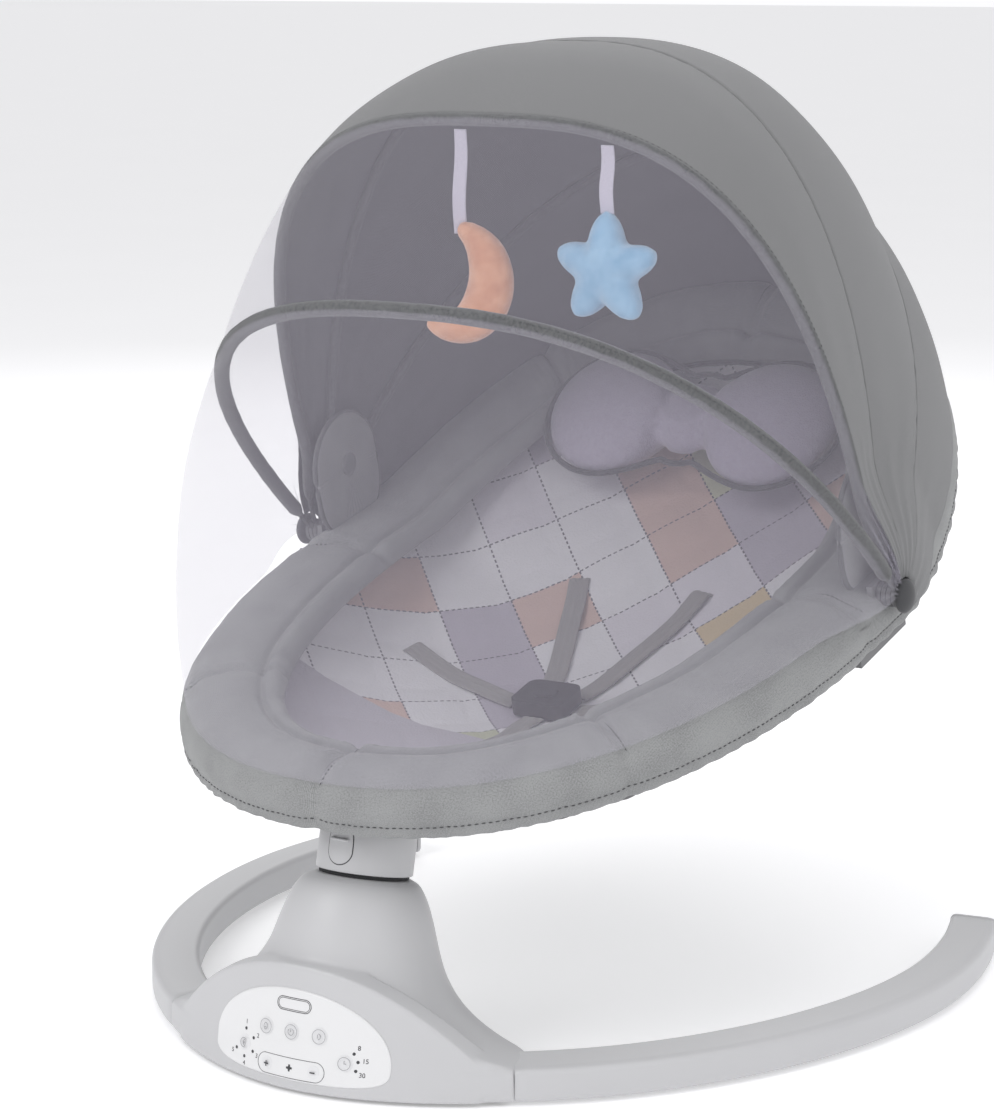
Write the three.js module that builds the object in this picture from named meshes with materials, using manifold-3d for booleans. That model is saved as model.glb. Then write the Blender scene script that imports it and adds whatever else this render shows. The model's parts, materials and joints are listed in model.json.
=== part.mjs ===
// Electric baby swing: a C-shaped floor base with a control housing, a leaning swing column,
// a padded seat on an oval tube frame, and a folding canopy with a net. Millimetres, +Z up.
import * as THREE from 'three';
import { mergeVertices } from 'three/addons/utils/BufferGeometryUtils.js';
import Module from 'manifold-3d';

// ---------------------------------------------------------------- driving sizes

// Base, seen from above: half of a superellipse that is open at the back.
const BASE_HALF_WIDTH = 275;
const BASE_HALF_LENGTH = 345;
const BASE_POWER = 1.89;
const BASE_MIDDLE_Y = 33;         // from the object's middle to the superellipse's centre
const BASE_BOTTOM = 2;            // height of the plastic above the floor
const LEG_WIDTH = 31.7;
const LEG_OUTER_HEIGHT = 22.2;
const LEG_INNER_HEIGHT = 25;
const LEG_CHAMFER = 3;
const LEG_WALL = 2.5;
const LEG_END_Y = 135;
const LEG_CAP_THICKNESS = 3.5;
const LEG_TONGUE = 0.07;          // radians of the base curve that the housing plugs into a leg
const LEG_SEAM_GAP = 0.0008 + (BASE_HALF_WIDTH - 275) * 4e-5;   // radians, between housing and leg
const SEAM_X = 128 + (BASE_HALF_WIDTH - 275) * 0.56;

// Control housing: a trumpet column that runs down into a curved front face.
const COLUMN_TOP_Y = -268.4;
const COLUMN_TOP_Z = 115.8;
const COLUMN_TOP_RADIUS = 29.7;
const COLUMN_LEAN = 0.219;
const HOUSING_WALL = 3;
const HOUSING_TOP_WALL = 4;
const COLUMN_FLARE = 40;
const FOOT_FLARE = 174;
const FOOT_FLARE_POWER = 4.9;
const FRONT_FLARE = 50;
const BACK_FLARE = 20;
const FOOT_SQUARENESS = 0.7;
const FRONT_BULGE = 6;
const FACE_SLOPE = 0.156;         // how far the front face runs back for each unit of height
const FACE_DEPTH = 44;
const FACE_END_DEPTH = 26;
const FACE_SET = 2;               // the trumpet's front stays this far behind the face at its foot
const CREASE_HALF_WIDTH = 112;
const CREASE_HEIGHT = 77;

// Control panel and its buttons, as places on the front face.
const PANEL_HALF_WIDTH = 64;
const PANEL_MIDDLE_Z = 23;
const PANEL_ABOVE = 40;
const PANEL_BELOW = 15;
const PANEL_PROUD = 0.8;
const PANEL_SUNK = 1.2;
const PANEL_LEDGE = 1;            // the panel's edge rests on the housing by this much
const BUTTON_PROUD = 0.8;
const BOARD_DEPTH = 11;
const BOARD_WIDTH = 84;
const BOARD_HEIGHT = 40;
const BOARD_THICKNESS = 1.6;
const BUTTON_TRAVEL_ROOM = 1.2;
const ROW_PITCH = 19.5;
const ROW_Z = 37.5;
const ROW_RADIUS = 5.2;
const SIDE_BUTTON_X = 37;
const SIDE_BUTTON_Z = 23.5;
const SIDE_BUTTON_RADIUS = 5;
const VOLUME_X = 17;
const VOLUME_Z = 15.5;
const VOLUME_RADIUS = 4;

// Swing shaft, bearings and drive, measured along the leaning axis from the column's top.
const SHAFT_RADIUS = 9;
const SHAFT_TOP = 24;
const SHAFT_SHOULDER = -65;
const SHAFT_BOTTOM = -79;
const THREAD_RADIUS = 6;
const BEARING_RADIUS = 16;
const BEARING_HEIGHT = 8;
const BEARING_TUBE_WALL = 4;
const BEARING_TUBE_LENGTH = 62;
const SEAL_HEIGHT = 1.8;
const SEAL_INSET = 1.6;
const ARM_LENGTH = 50;
const ARM_WIDTH = 13;
const ARM_THICKNESS = 4;
const MAGNET_LENGTH = 13;
const MAGNET_HEIGHT = 14;
const NUT_RADIUS = 10;
const NUT_HEIGHT = 5;
const COIL_RADIUS = 14;
const COIL_HEIGHT = 22;
const SPEAKER_RADIUS = 15;
const SPEAKER_HEIGHT = 8;

// Collar between the base and the seat, with its release button.
const COLLAR_RADIUS = 30.2;
const COLLAR_WALL = 3.2;
const COLLAR_BOTTOM = 2.6;
const RELEASE_WIDTH = 17;
const RELEASE_HEIGHT = 22;
const RELEASE_TRAVEL = 3;
const RELEASE_DEPTH = 7;
const MOUNT_HALF_WIDTH = 22;
const MOUNT_WALL = 3;

// Seat: an oval frame in a plane that leans back about the hinge line; its head end rises.
const HINGE_Y = 4.9;
const HINGE_Z = 269.8;
const SEAT_LEAN = 0.259;
const RIM_HALF_WIDTH = 222;
const RIM_FOOT = 341;
const RIM_HEAD = 312;
const RIM_INNER_HALF_WIDTH = 148.6;
const RIM_INNER_FOOT = 283;
const RIM_INNER_HEAD = 244;
const RIM_THICKNESS = 13;
const RING_POWER = 2.28;
const HEAD_RISE = 90;
const HEAD_RISE_START = 40;
const HEAD_RISE_POWER = 1.3;
const TUBE_RADIUS = 8;
const TUBE_INSET = 17;            // from the rim's outer edge to the tube's axis
const TUBE_FOOT_INSET = 23;
const TUBE_HEAD_INSET = 28;
const TUBE_DROP = RIM_THICKNESS + TUBE_RADIUS + 6;   // from the rim's top to the tube's axis
const TUBE_END = 6;
// The collar stays under the foot tube whatever the sizes of the two.
const COLLAR_TOP = 69 - TUBE_DROP - TUBE_RADIUS - (COLLAR_RADIUS - 30.2) * 0.5;
const SLING_CLEARANCE = 5;
const SLING_THICKNESS = 3;
const SLING_DROP = RIM_THICKNESS + 4;
const SLING_FOOT_DEPTH = 70;
const SLING_HEAD_DEPTH = 36;
const SLING_POWER = 2.6;
const LINER_THICKNESS = 7;
const LINER_TAPER = 0.6;          // share of its thickness that it loses at its edge
const STRAP_WIDTH = 15;
const STRAP_THICKNESS = 1.6;
const STRAP_GAP = 4;
const CROTCH_STRAP = 70;
const BUCKLE_S = -76;
const BUCKLE_LENGTH = 34;
const BUCKLE_WIDTH = 40;
const BUCKLE_HEIGHT = 11;
const BUCKLE_BUTTON_RADIUS = 8;
const BUCKLE_BUTTON_BOTTOM = 7;
const BUCKLE_BUTTON_ROOM = 3;     // below the button, for its travel
const PILLOW_S = 160;
const PILLOW_N = 40;
const PILLOW_TILT = 0.56;
const PILLOW_LOBE_X = 64;
const PILLOW_LOBE = [56, 56, 25];
const PILLOW_BRIDGE = [34, 38, 15];

// Side joints, where the two frame tubes meet and the bows turn on a stub axle.
const JOINT_HALF_LENGTH = 34;
const JOINT_WALL = 3;
const LUG_INNER_X = RIM_HALF_WIDTH - 9;
const LUG_THICKNESS = 4;
const LUG_HALF_LENGTH = 11;
const LUG_TOP = 9;
const AXLE_RADIUS = 3;
const AXLE_HEAD_RADIUS = 6.5;
const AXLE_HEAD_THICKNESS = 2;
const NOTCH_HALF_LENGTH = 14;
const NOTCH_CLEARANCE = 3.5;
const EAR_THICKNESS = 7;
const EAR_CLEARANCE = 3.5 + (RIM_HALF_WIDTH - 222) * 0.02;
const EAR_BOTTOM = 4;             // above the rim's top
const EAR_BACK_S = 15;
const EAR_HALF_WIDTH = 37;
const EAR_HEIGHT = 84;

// Bows: arches about the hinge line. Angle from the foot side, reach, half-width, roundness.
const BOW_RADIUS = 2.3;
const HUB_FLATNESS = 0.6;         // a bow is pressed flat beside its eyes
const EYE_RADIUS = 8;
const EYE_THICKNESS = 3;
const EYE_GAP = 0.5;
const FABRIC_OFFSET = 3.6;
const NET_BOW = { angle: 0.694, reach: 299, halfWidth: RIM_HALF_WIDTH + 8, power: 2.545, place: 3 };
const FRONT_BOW = { angle: 1.158, reach: 330, halfWidth: RIM_HALF_WIDTH - 6, power: 2.97, place: 2 };
const MIDDLE_BOW = { angle: 1.51, reach: 346, halfWidth: RIM_HALF_WIDTH - 10, power: 2.47, place: 1 };
const REAR_BOW = { angle: 2.171, reach: 331, halfWidth: RIM_HALF_WIDTH - 2, power: 2, place: 0 };
const FABRIC_START = 24;          // the cloth stops this far from the hinge line
const FABRIC_HUB_X = RIM_HALF_WIDTH + 8;
const FABRIC_THICKNESS = 1.6;
const NET_THICKNESS = 1.2;
const SEAM_ANGLE = 0.011;
const CANOPY_BULGE = 8;
const NET_LIFT = 3;               // the net's edge above the rim, and in from its outline
const NET_SET_IN = 8;

// Toys that hang from the front bow.
const RIBBON_WIDTH = 9;
const RIBBON_THICKNESS = 1.6;
const MOON_X = -19;
const MOON_RIBBON = 62;
const MOON_RADIUS = 34;           // of the arc that the crescent follows
const MOON_TOP_ANGLE = 1.35;
const MOON_TIP_ANGLE = -2.1;
const MOON_WIDTH = 17;
const MOON_THICKNESS = 28;
const STAR_X = 87;
const RIBBON_CLEARANCE = 3;       // between the bow and a ribbon's top end
const STAR_RIBBON = 36;
const STAR_RADIUS = 42;
const STAR_THICKNESS = 30;

// Feet and small clearances.
const FOOT_PAD_HEIGHT = 1.7;
const FOOT_PAD_MARGIN = 8;
const FOOT_PAD_TURN = 0.16;       // radians of the base curve, back from a leg's end
const FOOT_PAD_END = 0.02;
const FRONT_FOOT_TURN = 0.35;     // radians of the base curve to each side of the middle
const GAP = 0.4;
const SLIDE_GAP = 0.35;
const CUT = 60;                   // how far a cutting solid reaches past what it cuts

// ---------------------------------------------------------------- solids by hand

const wasm = await Module();
wasm.setup();

// A boolean solid made from any closed three.js geometry.
function solidOf(geometry) {
  const bare = geometry.clone();
  bare.deleteAttribute('normal');
  bare.deleteAttribute('uv');
  const merged = mergeVertices(bare, 1e-4);
  return new wasm.Manifold(new wasm.Mesh({
    numProp: 3,
    vertProperties: merged.attributes.position.array,
    triVerts: merged.index.array,
  }));
}

// The three.js geometry of a boolean solid.
function geometryOf(solid) {
  const mesh = solid.getMesh();
  return indexed(Array.from(mesh.vertProperties), Array.from(mesh.triVerts));
}

function indexed(positions, faces) {
  const geometry = new THREE.BufferGeometry();
  geometry.setAttribute('position', new THREE.Float32BufferAttribute(positions, 3));
  geometry.setIndex(faces);
  geometry.computeVertexNormals();
  return geometry;
}

// Six times the volume that the faces enclose; it is negative when they point inwards.
function signedVolume(points, faces) {
  let sum = 0;
  for (let i = 0; i < faces.length; i += 3) {
    const [a, b, c] = [points[faces[i]], points[faces[i + 1]], points[faces[i + 2]]];
    sum += a.dot(new THREE.Vector3().crossVectors(b, c));
  }
  return sum;
}

function closedGeometry(points, faces) {
  if (signedVolume(points, faces) < 0) faces.reverse();
  return indexed(points.flatMap((p) => [p.x, p.y, p.z]), faces);
}

function quad(faces, a, b, c, d) {
  faces.push(a, b, c, a, c, d);
}

// A skin over a row of matching outlines; open rows get flat ends, closed rows join up.
function loft(rings, closed = false) {
  const count = rings[0].length;
  const points = rings.flat();
  const faces = [];
  const spans = closed ? rings.length : rings.length - 1;
  for (let i = 0; i < spans; i++) {
    const next = (i + 1) % rings.length;
    for (let j = 0; j < count; j++) {
      const k = (j + 1) % count;
      quad(faces, i * count + j, i * count + k, next * count + k, next * count + j);
    }
  }
  if (!closed) {
    const first = rings[0];
    const last = rings[rings.length - 1];
    const offset = (rings.length - 1) * count;
    const firstMiddle = points.length;
    points.push(middleOf(first), middleOf(last));
    for (let j = 0; j < count; j++) {
      const k = (j + 1) % count;
      faces.push(firstMiddle, k, j);
      faces.push(firstMiddle + 1, offset + j, offset + k);
    }
  }
  return closedGeometry(points, faces);
}

function middleOf(ring) {
  const middle = new THREE.Vector3();
  ring.forEach((p) => middle.add(p));
  return middle.divideScalar(ring.length);
}

// A closed sheet between an upper and a lower grid of points, both [row][column].
function sheet(upper, lower) {
  const rows = upper.length;
  const columns = upper[0].length;
  const points = [...upper.flat(), ...lower.flat()];
  const below = rows * columns;
  const at = (i, j) => i * columns + j;
  const faces = [];
  for (let i = 0; i < rows - 1; i++) {
    for (let j = 0; j < columns - 1; j++) {
      quad(faces, at(i, j), at(i + 1, j), at(i + 1, j + 1), at(i, j + 1));
      quad(faces, below + at(i, j), below + at(i, j + 1), below + at(i + 1, j + 1), below + at(i + 1, j));
    }
  }
  for (let i = 0; i < rows - 1; i++) {
    quad(faces, at(i, 0), below + at(i, 0), below + at(i + 1, 0), at(i + 1, 0));
    const j = columns - 1;
    quad(faces, at(i, j), at(i + 1, j), below + at(i + 1, j), below + at(i, j));
  }
  for (let j = 0; j < columns - 1; j++) {
    quad(faces, at(0, j), at(0, j + 1), below + at(0, j + 1), below + at(0, j));
    const i = rows - 1;
    quad(faces, at(i, j), below + at(i, j), below + at(i, j + 1), at(i, j + 1));
  }
  return closedGeometry(points, faces);
}

// Outlines of a round rod along a row of points; it can be flatter across, point by point.
function rod(path, radius, sides, flatness = () => 1) {
  return path.map((p, i) => {
    const before = path[Math.max(i - 1, 0)];
    const after = path[Math.min(i + 1, path.length - 1)];
    const along = new THREE.Vector3().subVectors(after, before).normalize();
    const start = Math.abs(along.x) < 0.8 ? new THREE.Vector3(1, 0, 0) : new THREE.Vector3(0, 0, 1);
    const u = start.clone().addScaledVector(along, -start.dot(along)).normalize();
    const v = new THREE.Vector3().crossVectors(along, u);
    const across = radius * flatness(p);
    return circle(sides).map(([c, s]) => {
      const offset = u.clone().multiplyScalar(across * c).addScaledVector(v, radius * s);
      return offset.add(p);
    });
  });
}

function circle(sides) {
  return Array.from({ length: sides }, (_, i) => {
    const angle = (2 * Math.PI * (i + 0.5)) / sides;
    return [Math.cos(angle), Math.sin(angle)];
  });
}

function steps(from, to, count) {
  return Array.from({ length: count + 1 }, (_, i) => from + ((to - from) * i) / count);
}

function smooth(from, to, value) {
  return THREE.MathUtils.smoothstep(value, from, to);
}

function power(value, exponent) {
  return Math.sign(value) * Math.abs(value) ** exponent;
}

// A cylinder that stands on Z, from one height to another.
function upright(radius, bottom, top, sides = 24) {
  const geometry = new THREE.CylinderGeometry(radius, radius, top - bottom, sides);
  geometry.rotateX(Math.PI / 2);
  return geometry.translate(0, 0, (bottom + top) / 2);
}

// A cylinder that lies on X, from one place to another.
function crosswise(radius, from, to, sides = 20) {
  const geometry = new THREE.CylinderGeometry(radius, radius, Math.abs(to - from), sides);
  geometry.rotateZ(Math.PI / 2);
  return geometry.translate((from + to) / 2, 0, 0);
}

function block(x0, x1, y0, y1, z0, z1) {
  const geometry = new THREE.BoxGeometry(x1 - x0, y1 - y0, z1 - z0);
  return geometry.translate((x0 + x1) / 2, (y0 + y1) / 2, (z0 + z1) / 2);
}

// A ring that stands on Z.
function collarRing(outer, inner, bottom, top, sides = 24) {
  const profile = [[inner, bottom], [outer, bottom], [outer, top], [inner, top], [inner, bottom]];
  const geometry = new THREE.LatheGeometry(profile.map(([r, z]) => new THREE.Vector2(r, z)), sides);
  return geometry.rotateX(Math.PI / 2);
}

// ---------------------------------------------------------------- scene and materials

const product = new THREE.Group();
product.position.y = BASE_MIDDLE_Y;

const column = new THREE.Group();
column.position.set(0, COLUMN_TOP_Y, COLUMN_TOP_Z);
column.rotation.x = -COLUMN_LEAN;
product.add(column);

const seat = new THREE.Group();
seat.position.set(0, HINGE_Y, HINGE_Z);
seat.rotation.x = SEAT_LEAN;
product.add(seat);

const hinge = new THREE.Group();
hinge.position.set(0, HINGE_Y, HINGE_Z);
product.add(hinge);

product.updateMatrixWorld(true);

function finish(color, roughness, metalness = 0) {
  return new THREE.MeshStandardMaterial({ color, roughness, metalness });
}

const shellPlastic = finish(0xc8c8ca, 0.45);
const panelPlastic = finish(0xf4f4f4, 0.3);
const buttonPlastic = finish(0xe9e9ea, 0.4);
const darkPlastic = finish(0x3a3b3d, 0.5);
const rubber = finish(0x2a2a2b, 0.8);
const boardGreen = finish(0x1f5a38, 0.6);
const steel = finish(0x9a9c9f, 0.35, 0.9);
const copper = finish(0xb26a3a, 0.4, 0.9);
const bronze = finish(0x9b7b4c, 0.4, 0.8);
const greyLinen = finish(0x8c8d8f, 0.95);
const canopyCloth = finish(0x7d7e80, 0.9);
const lilacCloth = finish(0xb3abb8, 0.95);
const lilacNet = finish(0xd8d2e2, 0.8);
const webbing = finish(0xb9b5a8, 0.9);
const moonPlush = finish(0xf0a070, 1);
const starPlush = finish(0x9cc9ea, 1);

function add(parent, name, geometry, material) {
  const mesh = new THREE.Mesh(geometry, material);
  mesh.name = name;
  parent.add(mesh);
  return mesh;
}

const SIDES = [['left', -1], ['right', 1]];

// ---------------------------------------------------------------- base curve

// A point on the base's outer outline: 0 is the front's middle, positive turns to the right.
function outlinePoint(turn) {
  const x = BASE_HALF_WIDTH * power(Math.sin(turn), 2 / BASE_POWER);
  const y = -BASE_HALF_LENGTH * power(Math.cos(turn), 2 / BASE_POWER);
  return new THREE.Vector3(x, y, 0);
}

function outlineTangent(turn) {
  const step = 1e-3;
  return outlinePoint(turn + step).sub(outlinePoint(turn - step)).normalize();
}

function outlineInward(turn) {
  const along = outlineTangent(turn);
  return new THREE.Vector3(-along.y, along.x, 0);
}

const SEAM_TURN = Math.asin((SEAM_X / BASE_HALF_WIDTH) ** (BASE_POWER / 2));
const END_TURN = Math.PI / 2 + Math.asin((LEG_END_Y / BASE_HALF_LENGTH) ** (BASE_POWER / 2));

// The leg's section as [distance in from the outline, height] pairs, shrunk by an inset.
function legSection(inset, lift = 0) {
  const near = inset;
  const far = LEG_WIDTH - inset;
  const low = BASE_BOTTOM + inset - lift;
  const outer = LEG_OUTER_HEIGHT - inset;
  const inner = LEG_INNER_HEIGHT - inset;
  const c = LEG_CHAMFER;
  return [
    [near + c, low], [near, low + c], [near, outer - c], [near + c, outer],
    [far - c, inner], [far, inner - c], [far, low + c], [far - c, low],
  ];
}

function sectionAt(turn, section, shift = 0) {
  const start = outlinePoint(turn).addScaledVector(outlineTangent(turn), shift);
  const inward = outlineInward(turn);
  return section.map(([distance, height]) => {
    const point = start.clone().addScaledVector(inward, distance);
    point.z = height;
    return point;
  });
}

function alongBase(from, to, count, section) {
  return loft(steps(from, to, count).map((turn) => sectionAt(turn, section)));
}

// ---------------------------------------------------------------- control housing

const TOP_Z = COLUMN_TOP_Z;

// How far down the column a height is: 0 at its top, 1 at the floor.
function depthShare(z) {
  return THREE.MathUtils.clamp(1 - z / TOP_Z, 0, 1);
}

function columnAxisY(z) {
  return COLUMN_TOP_Y - (TOP_Z - z) * Math.tan(COLUMN_LEAN);
}

function trumpetHalfWidth(u) {
  const width = COLUMN_TOP_RADIUS + COLUMN_FLARE * Math.sqrt(u) + FOOT_FLARE * u ** FOOT_FLARE_POWER;
  return Math.min(width, SEAM_X);
}

function outlineY(x) {
  return -BASE_HALF_LENGTH * (1 - Math.abs(x / BASE_HALF_WIDTH) ** BASE_POWER) ** (1 / BASE_POWER);
}

// How much the housing has turned from a round column into the base's curve.
function footShare(u) {
  return smooth(0.3, 0.9, u);
}

// The front of the trumpet comes down behind the front face, and its back to the legs' middle.
function trumpetPoint(z, angle, inset) {
  const u = depthShare(z);
  const inFront = Math.sin(angle) < 0;
  const roundness = inFront ? 2 / (2 + FOOT_SQUARENESS * footShare(u)) : 1;
  const half = trumpetHalfWidth(u) - inset;
  const x = half * power(Math.cos(angle), roundness);
  const front = COLUMN_TOP_RADIUS + FRONT_FLARE * Math.sqrt(u) * (1 - 0.5 * u) - inset;
  const reach = inFront ? front : backReach(u) - inset;
  const across = reach * power(Math.sin(angle), roundness);
  const plain = columnAxisY(z) + across;
  const tilt = across * Math.tan(COLUMN_LEAN) * (1 - smooth(0, 0.35, u));
  const behindFace = faceY(x, z) + FACE_SET + inset;
  const y = inFront ? THREE.MathUtils.lerp(plain, behindFace, footShare(u)) : plain + backBend(x, z);
  return new THREE.Vector3(x, y, z - tilt);
}

function backReach(u) {
  return COLUMN_TOP_RADIUS + BACK_FLARE * Math.sqrt(u);
}

function backBend(x, z) {
  const legMiddle = outlineY(SEAM_X) + LEG_WIDTH / 2;
  return footShare(depthShare(z)) * (x / SEAM_X) ** 2 * (legMiddle - columnAxisY(z));
}

function trumpet(inset, topDrop, bottom) {
  const top = TOP_Z - topDrop;
  const levels = [0, 0.02, 0.07, 0.16, 0.28, 0.4, 0.52, 0.62, 0.7, 0.76, 0.81];
  const heights = levels.map((u) => TOP_Z * (1 - u)).filter((z) => z < top - 1);
  const angles = steps(0, 2 * Math.PI, 24).slice(0, 24);
  const rings = [top, ...heights, BASE_BOTTOM].map((z) => angles.map((angle) => trumpetPoint(z, angle, inset)));
  const foot = rings[rings.length - 1].map((p) => new THREE.Vector3(p.x, p.y, bottom));
  if (bottom < BASE_BOTTOM) rings.push(foot);
  return solidOf(loft(rings));
}

// The front face: its foot follows the base, bulged forward, and it leans back as it rises.
function faceY(x, z) {
  const bulge = FRONT_BULGE * (1 - Math.min(Math.abs(x) / SEAM_X, 1) ** 2);
  return outlineY(x) - bulge + FACE_SLOPE * (z - BASE_BOTTOM);
}

function creaseZ(x) {
  const share = Math.min(Math.abs(x) / CREASE_HALF_WIDTH, 1);
  return LEG_OUTER_HEIGHT + (CREASE_HEIGHT - LEG_OUTER_HEIGHT) * (1 - share ** 2.2);
}

function frontFace(inset, bottom) {
  const half = CREASE_HALF_WIDTH - inset;
  const rings = steps(-1, 1, 14).map((share) => {
    const x = half * share;
    const top = creaseZ(x) - inset;
    const depth = THREE.MathUtils.lerp(FACE_DEPTH, FACE_END_DEPTH, Math.abs(share)) - inset;
    const row = (y, z) => new THREE.Vector3(x, y, z);
    return [
      row(faceY(x, bottom) + inset, bottom),
      row(faceY(x, top) + inset, top),
      row(faceY(x, top) + inset + FACE_DEPTH / 3, top + 1),
      row(faceY(x, BASE_BOTTOM) + depth, LEG_OUTER_HEIGHT - inset),
      row(faceY(x, BASE_BOTTOM) + depth, bottom),
    ];
  });
  return solidOf(loft(rings));
}

// A big block beyond the seam between the housing and a leg; setback moves it inwards.
function beyondSeam(side, setback) {
  const along = outlineTangent(side * SEAM_TURN).multiplyScalar(side);
  const start = outlinePoint(side * SEAM_TURN).addScaledVector(outlineInward(side * SEAM_TURN), LEG_WIDTH / 2);
  const cutter = new THREE.BoxGeometry(CUT, 2 * CUT, 3 * CUT);
  cutter.translate(CUT / 2 - setback, 0, 0);
  cutter.rotateZ(Math.atan2(along.y, along.x));
  return solidOf(cutter.translate(start.x, start.y, 0));
}

function housingShape(inset, topDrop, bottom, setback) {
  const section = legSection(inset, inset + BASE_BOTTOM - bottom);
  const front = solidOf(alongBase(-SEAM_TURN - 0.02, SEAM_TURN + 0.02, 12, section));
  const whole = trumpet(inset, topDrop, bottom).add(frontFace(inset, bottom)).add(front);
  return whole.subtract(beyondSeam(-1, setback)).subtract(beyondSeam(1, setback));
}

// Moves a solid made about the column's axis into the base's frame.
function onColumn(geometry) {
  return solidOf(geometry.rotateX(-COLUMN_LEAN).translate(0, COLUMN_TOP_Y, COLUMN_TOP_Z));
}

const FACE_ANGLE = Math.atan(FACE_SLOPE);

// A cylinder square to the front face at (x, z), between two depths behind the face's middle.
function throughFace(x, z, radius, from, to, sides = 20) {
  const geometry = new THREE.CylinderGeometry(radius, radius, to - from, sides);
  geometry.translate(0, (from + to) / 2, 0);
  geometry.rotateX(-FACE_ANGLE);
  return geometry.translate(x, faceY(0, z), z);
}

function faceSag(x) {
  return faceY(x, 0) - faceY(0, 0);
}

// The panel's plate, between two depths behind the front face and grown by a margin.
function panelPlate(from, to, margin) {
  const half = PANEL_HALF_WIDTH + margin;
  const rings = steps(-88, 88, 14).map((degrees) => {
    const share = Math.sin(THREE.MathUtils.degToRad(degrees));
    const x = half * share;
    const top = PANEL_MIDDLE_Z + (PANEL_ABOVE + margin) * Math.sqrt(1 - share ** 2);
    const low = PANEL_MIDDLE_Z - (PANEL_BELOW + margin) * (1 - share ** 4) ** 0.25;
    const row = (z, depth) => new THREE.Vector3(x, faceY(x, z) + depth, z);
    return [row(low, from), row(top, from), row(top, to), row(low, to)];
  });
  return solidOf(loft(rings));
}

const BUTTONS = [
  ['light_button', -ROW_PITCH, ROW_Z, ROW_RADIUS],
  ['power_button', 0, ROW_Z, ROW_RADIUS],
  ['play_button', ROW_PITCH, ROW_Z, ROW_RADIUS],
  ['speed_button', -SIDE_BUTTON_X, SIDE_BUTTON_Z, SIDE_BUTTON_RADIUS],
  ['timer_button', SIDE_BUTTON_X, SIDE_BUTTON_Z, SIDE_BUTTON_RADIUS],
  ['plus_button', -VOLUME_X, VOLUME_Z, VOLUME_RADIUS],
  ['minus_button', VOLUME_X, VOLUME_Z, VOLUME_RADIUS],
];

const INLET_X = -42;
const INLET_Z = 13;
const INLET_RADIUS = 5.6;
const INLET_BORE = 3.4;
const INLET_LENGTH = 14;
const INLET_BORE_DEPTH = 9;

// The outside of the housing's back wall at a place across.
function backY(x, z) {
  const u = depthShare(z);
  const across = backReach(u) * Math.sqrt(1 - (x / trumpetHalfWidth(u)) ** 2);
  return columnAxisY(z) + across + backBend(x, z);
}

function alongY(radius, from, to, x, z, sides = 20) {
  const geometry = new THREE.CylinderGeometry(radius, radius, to - from, sides);
  return geometry.translate(x, (from + to) / 2, z);
}

function makeHousing() {
  const bore = BEARING_RADIUS + SLIDE_GAP;
  const tube = onColumn(upright(bore + BEARING_TUBE_WALL, -BEARING_TUBE_LENGTH, -HOUSING_TOP_WALL / 2));
  const cavity = housingShape(HOUSING_WALL, HOUSING_TOP_WALL, BASE_BOTTOM - CUT / 4, HOUSING_WALL);
  let shell = housingShape(0, 0, BASE_BOTTOM, GAP / 2).subtract(cavity).add(tube);
  shell = shell.subtract(onColumn(upright(bore, -BEARING_TUBE_LENGTH - CUT, CUT / 4)));
  for (const [, side] of SIDES) {
    const section = legSection(LEG_WALL + SLIDE_GAP);
    const from = side * (SEAM_TURN - 0.008);
    const tongue = alongBase(from, side * (SEAM_TURN + LEG_TONGUE), 4, section);
    shell = shell.add(solidOf(tongue));
  }
  shell = shell.subtract(panelPlate(-CUT / 4, PANEL_SUNK + SLIDE_GAP, SLIDE_GAP));
  shell = shell.subtract(panelPlate(-CUT / 4, CUT / 3, -PANEL_LEDGE));
  const back = backY(INLET_X, INLET_Z);
  const socket = alongY(INLET_RADIUS + SLIDE_GAP, back - CUT / 3, back + CUT / 3, INLET_X, INLET_Z);
  return geometryOf(shell.subtract(solidOf(socket)));
}

add(product, 'front_housing', makeHousing(), shellPlastic);

function makeBottomCover() {
  const inside = housingShape(HOUSING_WALL + GAP, HOUSING_TOP_WALL, BASE_BOTTOM - 1, HOUSING_WALL + GAP);
  const slab = block(-SEAM_X, SEAM_X, -2 * BASE_HALF_LENGTH, 0, BASE_BOTTOM, BASE_BOTTOM + LEG_WALL);
  return geometryOf(inside.intersect(solidOf(slab)));
}

add(product, 'bottom_cover', makeBottomCover(), darkPlastic);

function makePanel() {
  let plate = panelPlate(-PANEL_PROUD, PANEL_SUNK, 0);
  for (const [, x, z, radius] of BUTTONS) {
    plate = plate.subtract(solidOf(throughFace(x, z, radius + SLIDE_GAP, -CUT / 4, CUT / 3, 14)));
  }
  return geometryOf(plate);
}

add(product, 'control_panel', makePanel(), panelPlastic);

for (const [name, x, z, radius] of BUTTONS) {
  const front = faceSag(x) - PANEL_PROUD - BUTTON_PROUD;
  const stem = throughFace(x, z, radius, front, BOARD_DEPTH - BUTTON_TRAVEL_ROOM, 16);
  add(product, name, stem, buttonPlastic);
}

function makeBoard() {
  const half = BOARD_WIDTH / 2;
  const board = block(-half, half, 0, BOARD_THICKNESS, -BOARD_HEIGHT / 2, BOARD_HEIGHT / 2);
  board.translate(0, BOARD_DEPTH, 0).rotateX(-FACE_ANGLE);
  const middle = (ROW_Z + VOLUME_Z) / 2 + 1;
  return board.translate(0, faceY(0, middle), middle);
}

add(product, 'circuit_board', makeBoard(), boardGreen);

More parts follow.
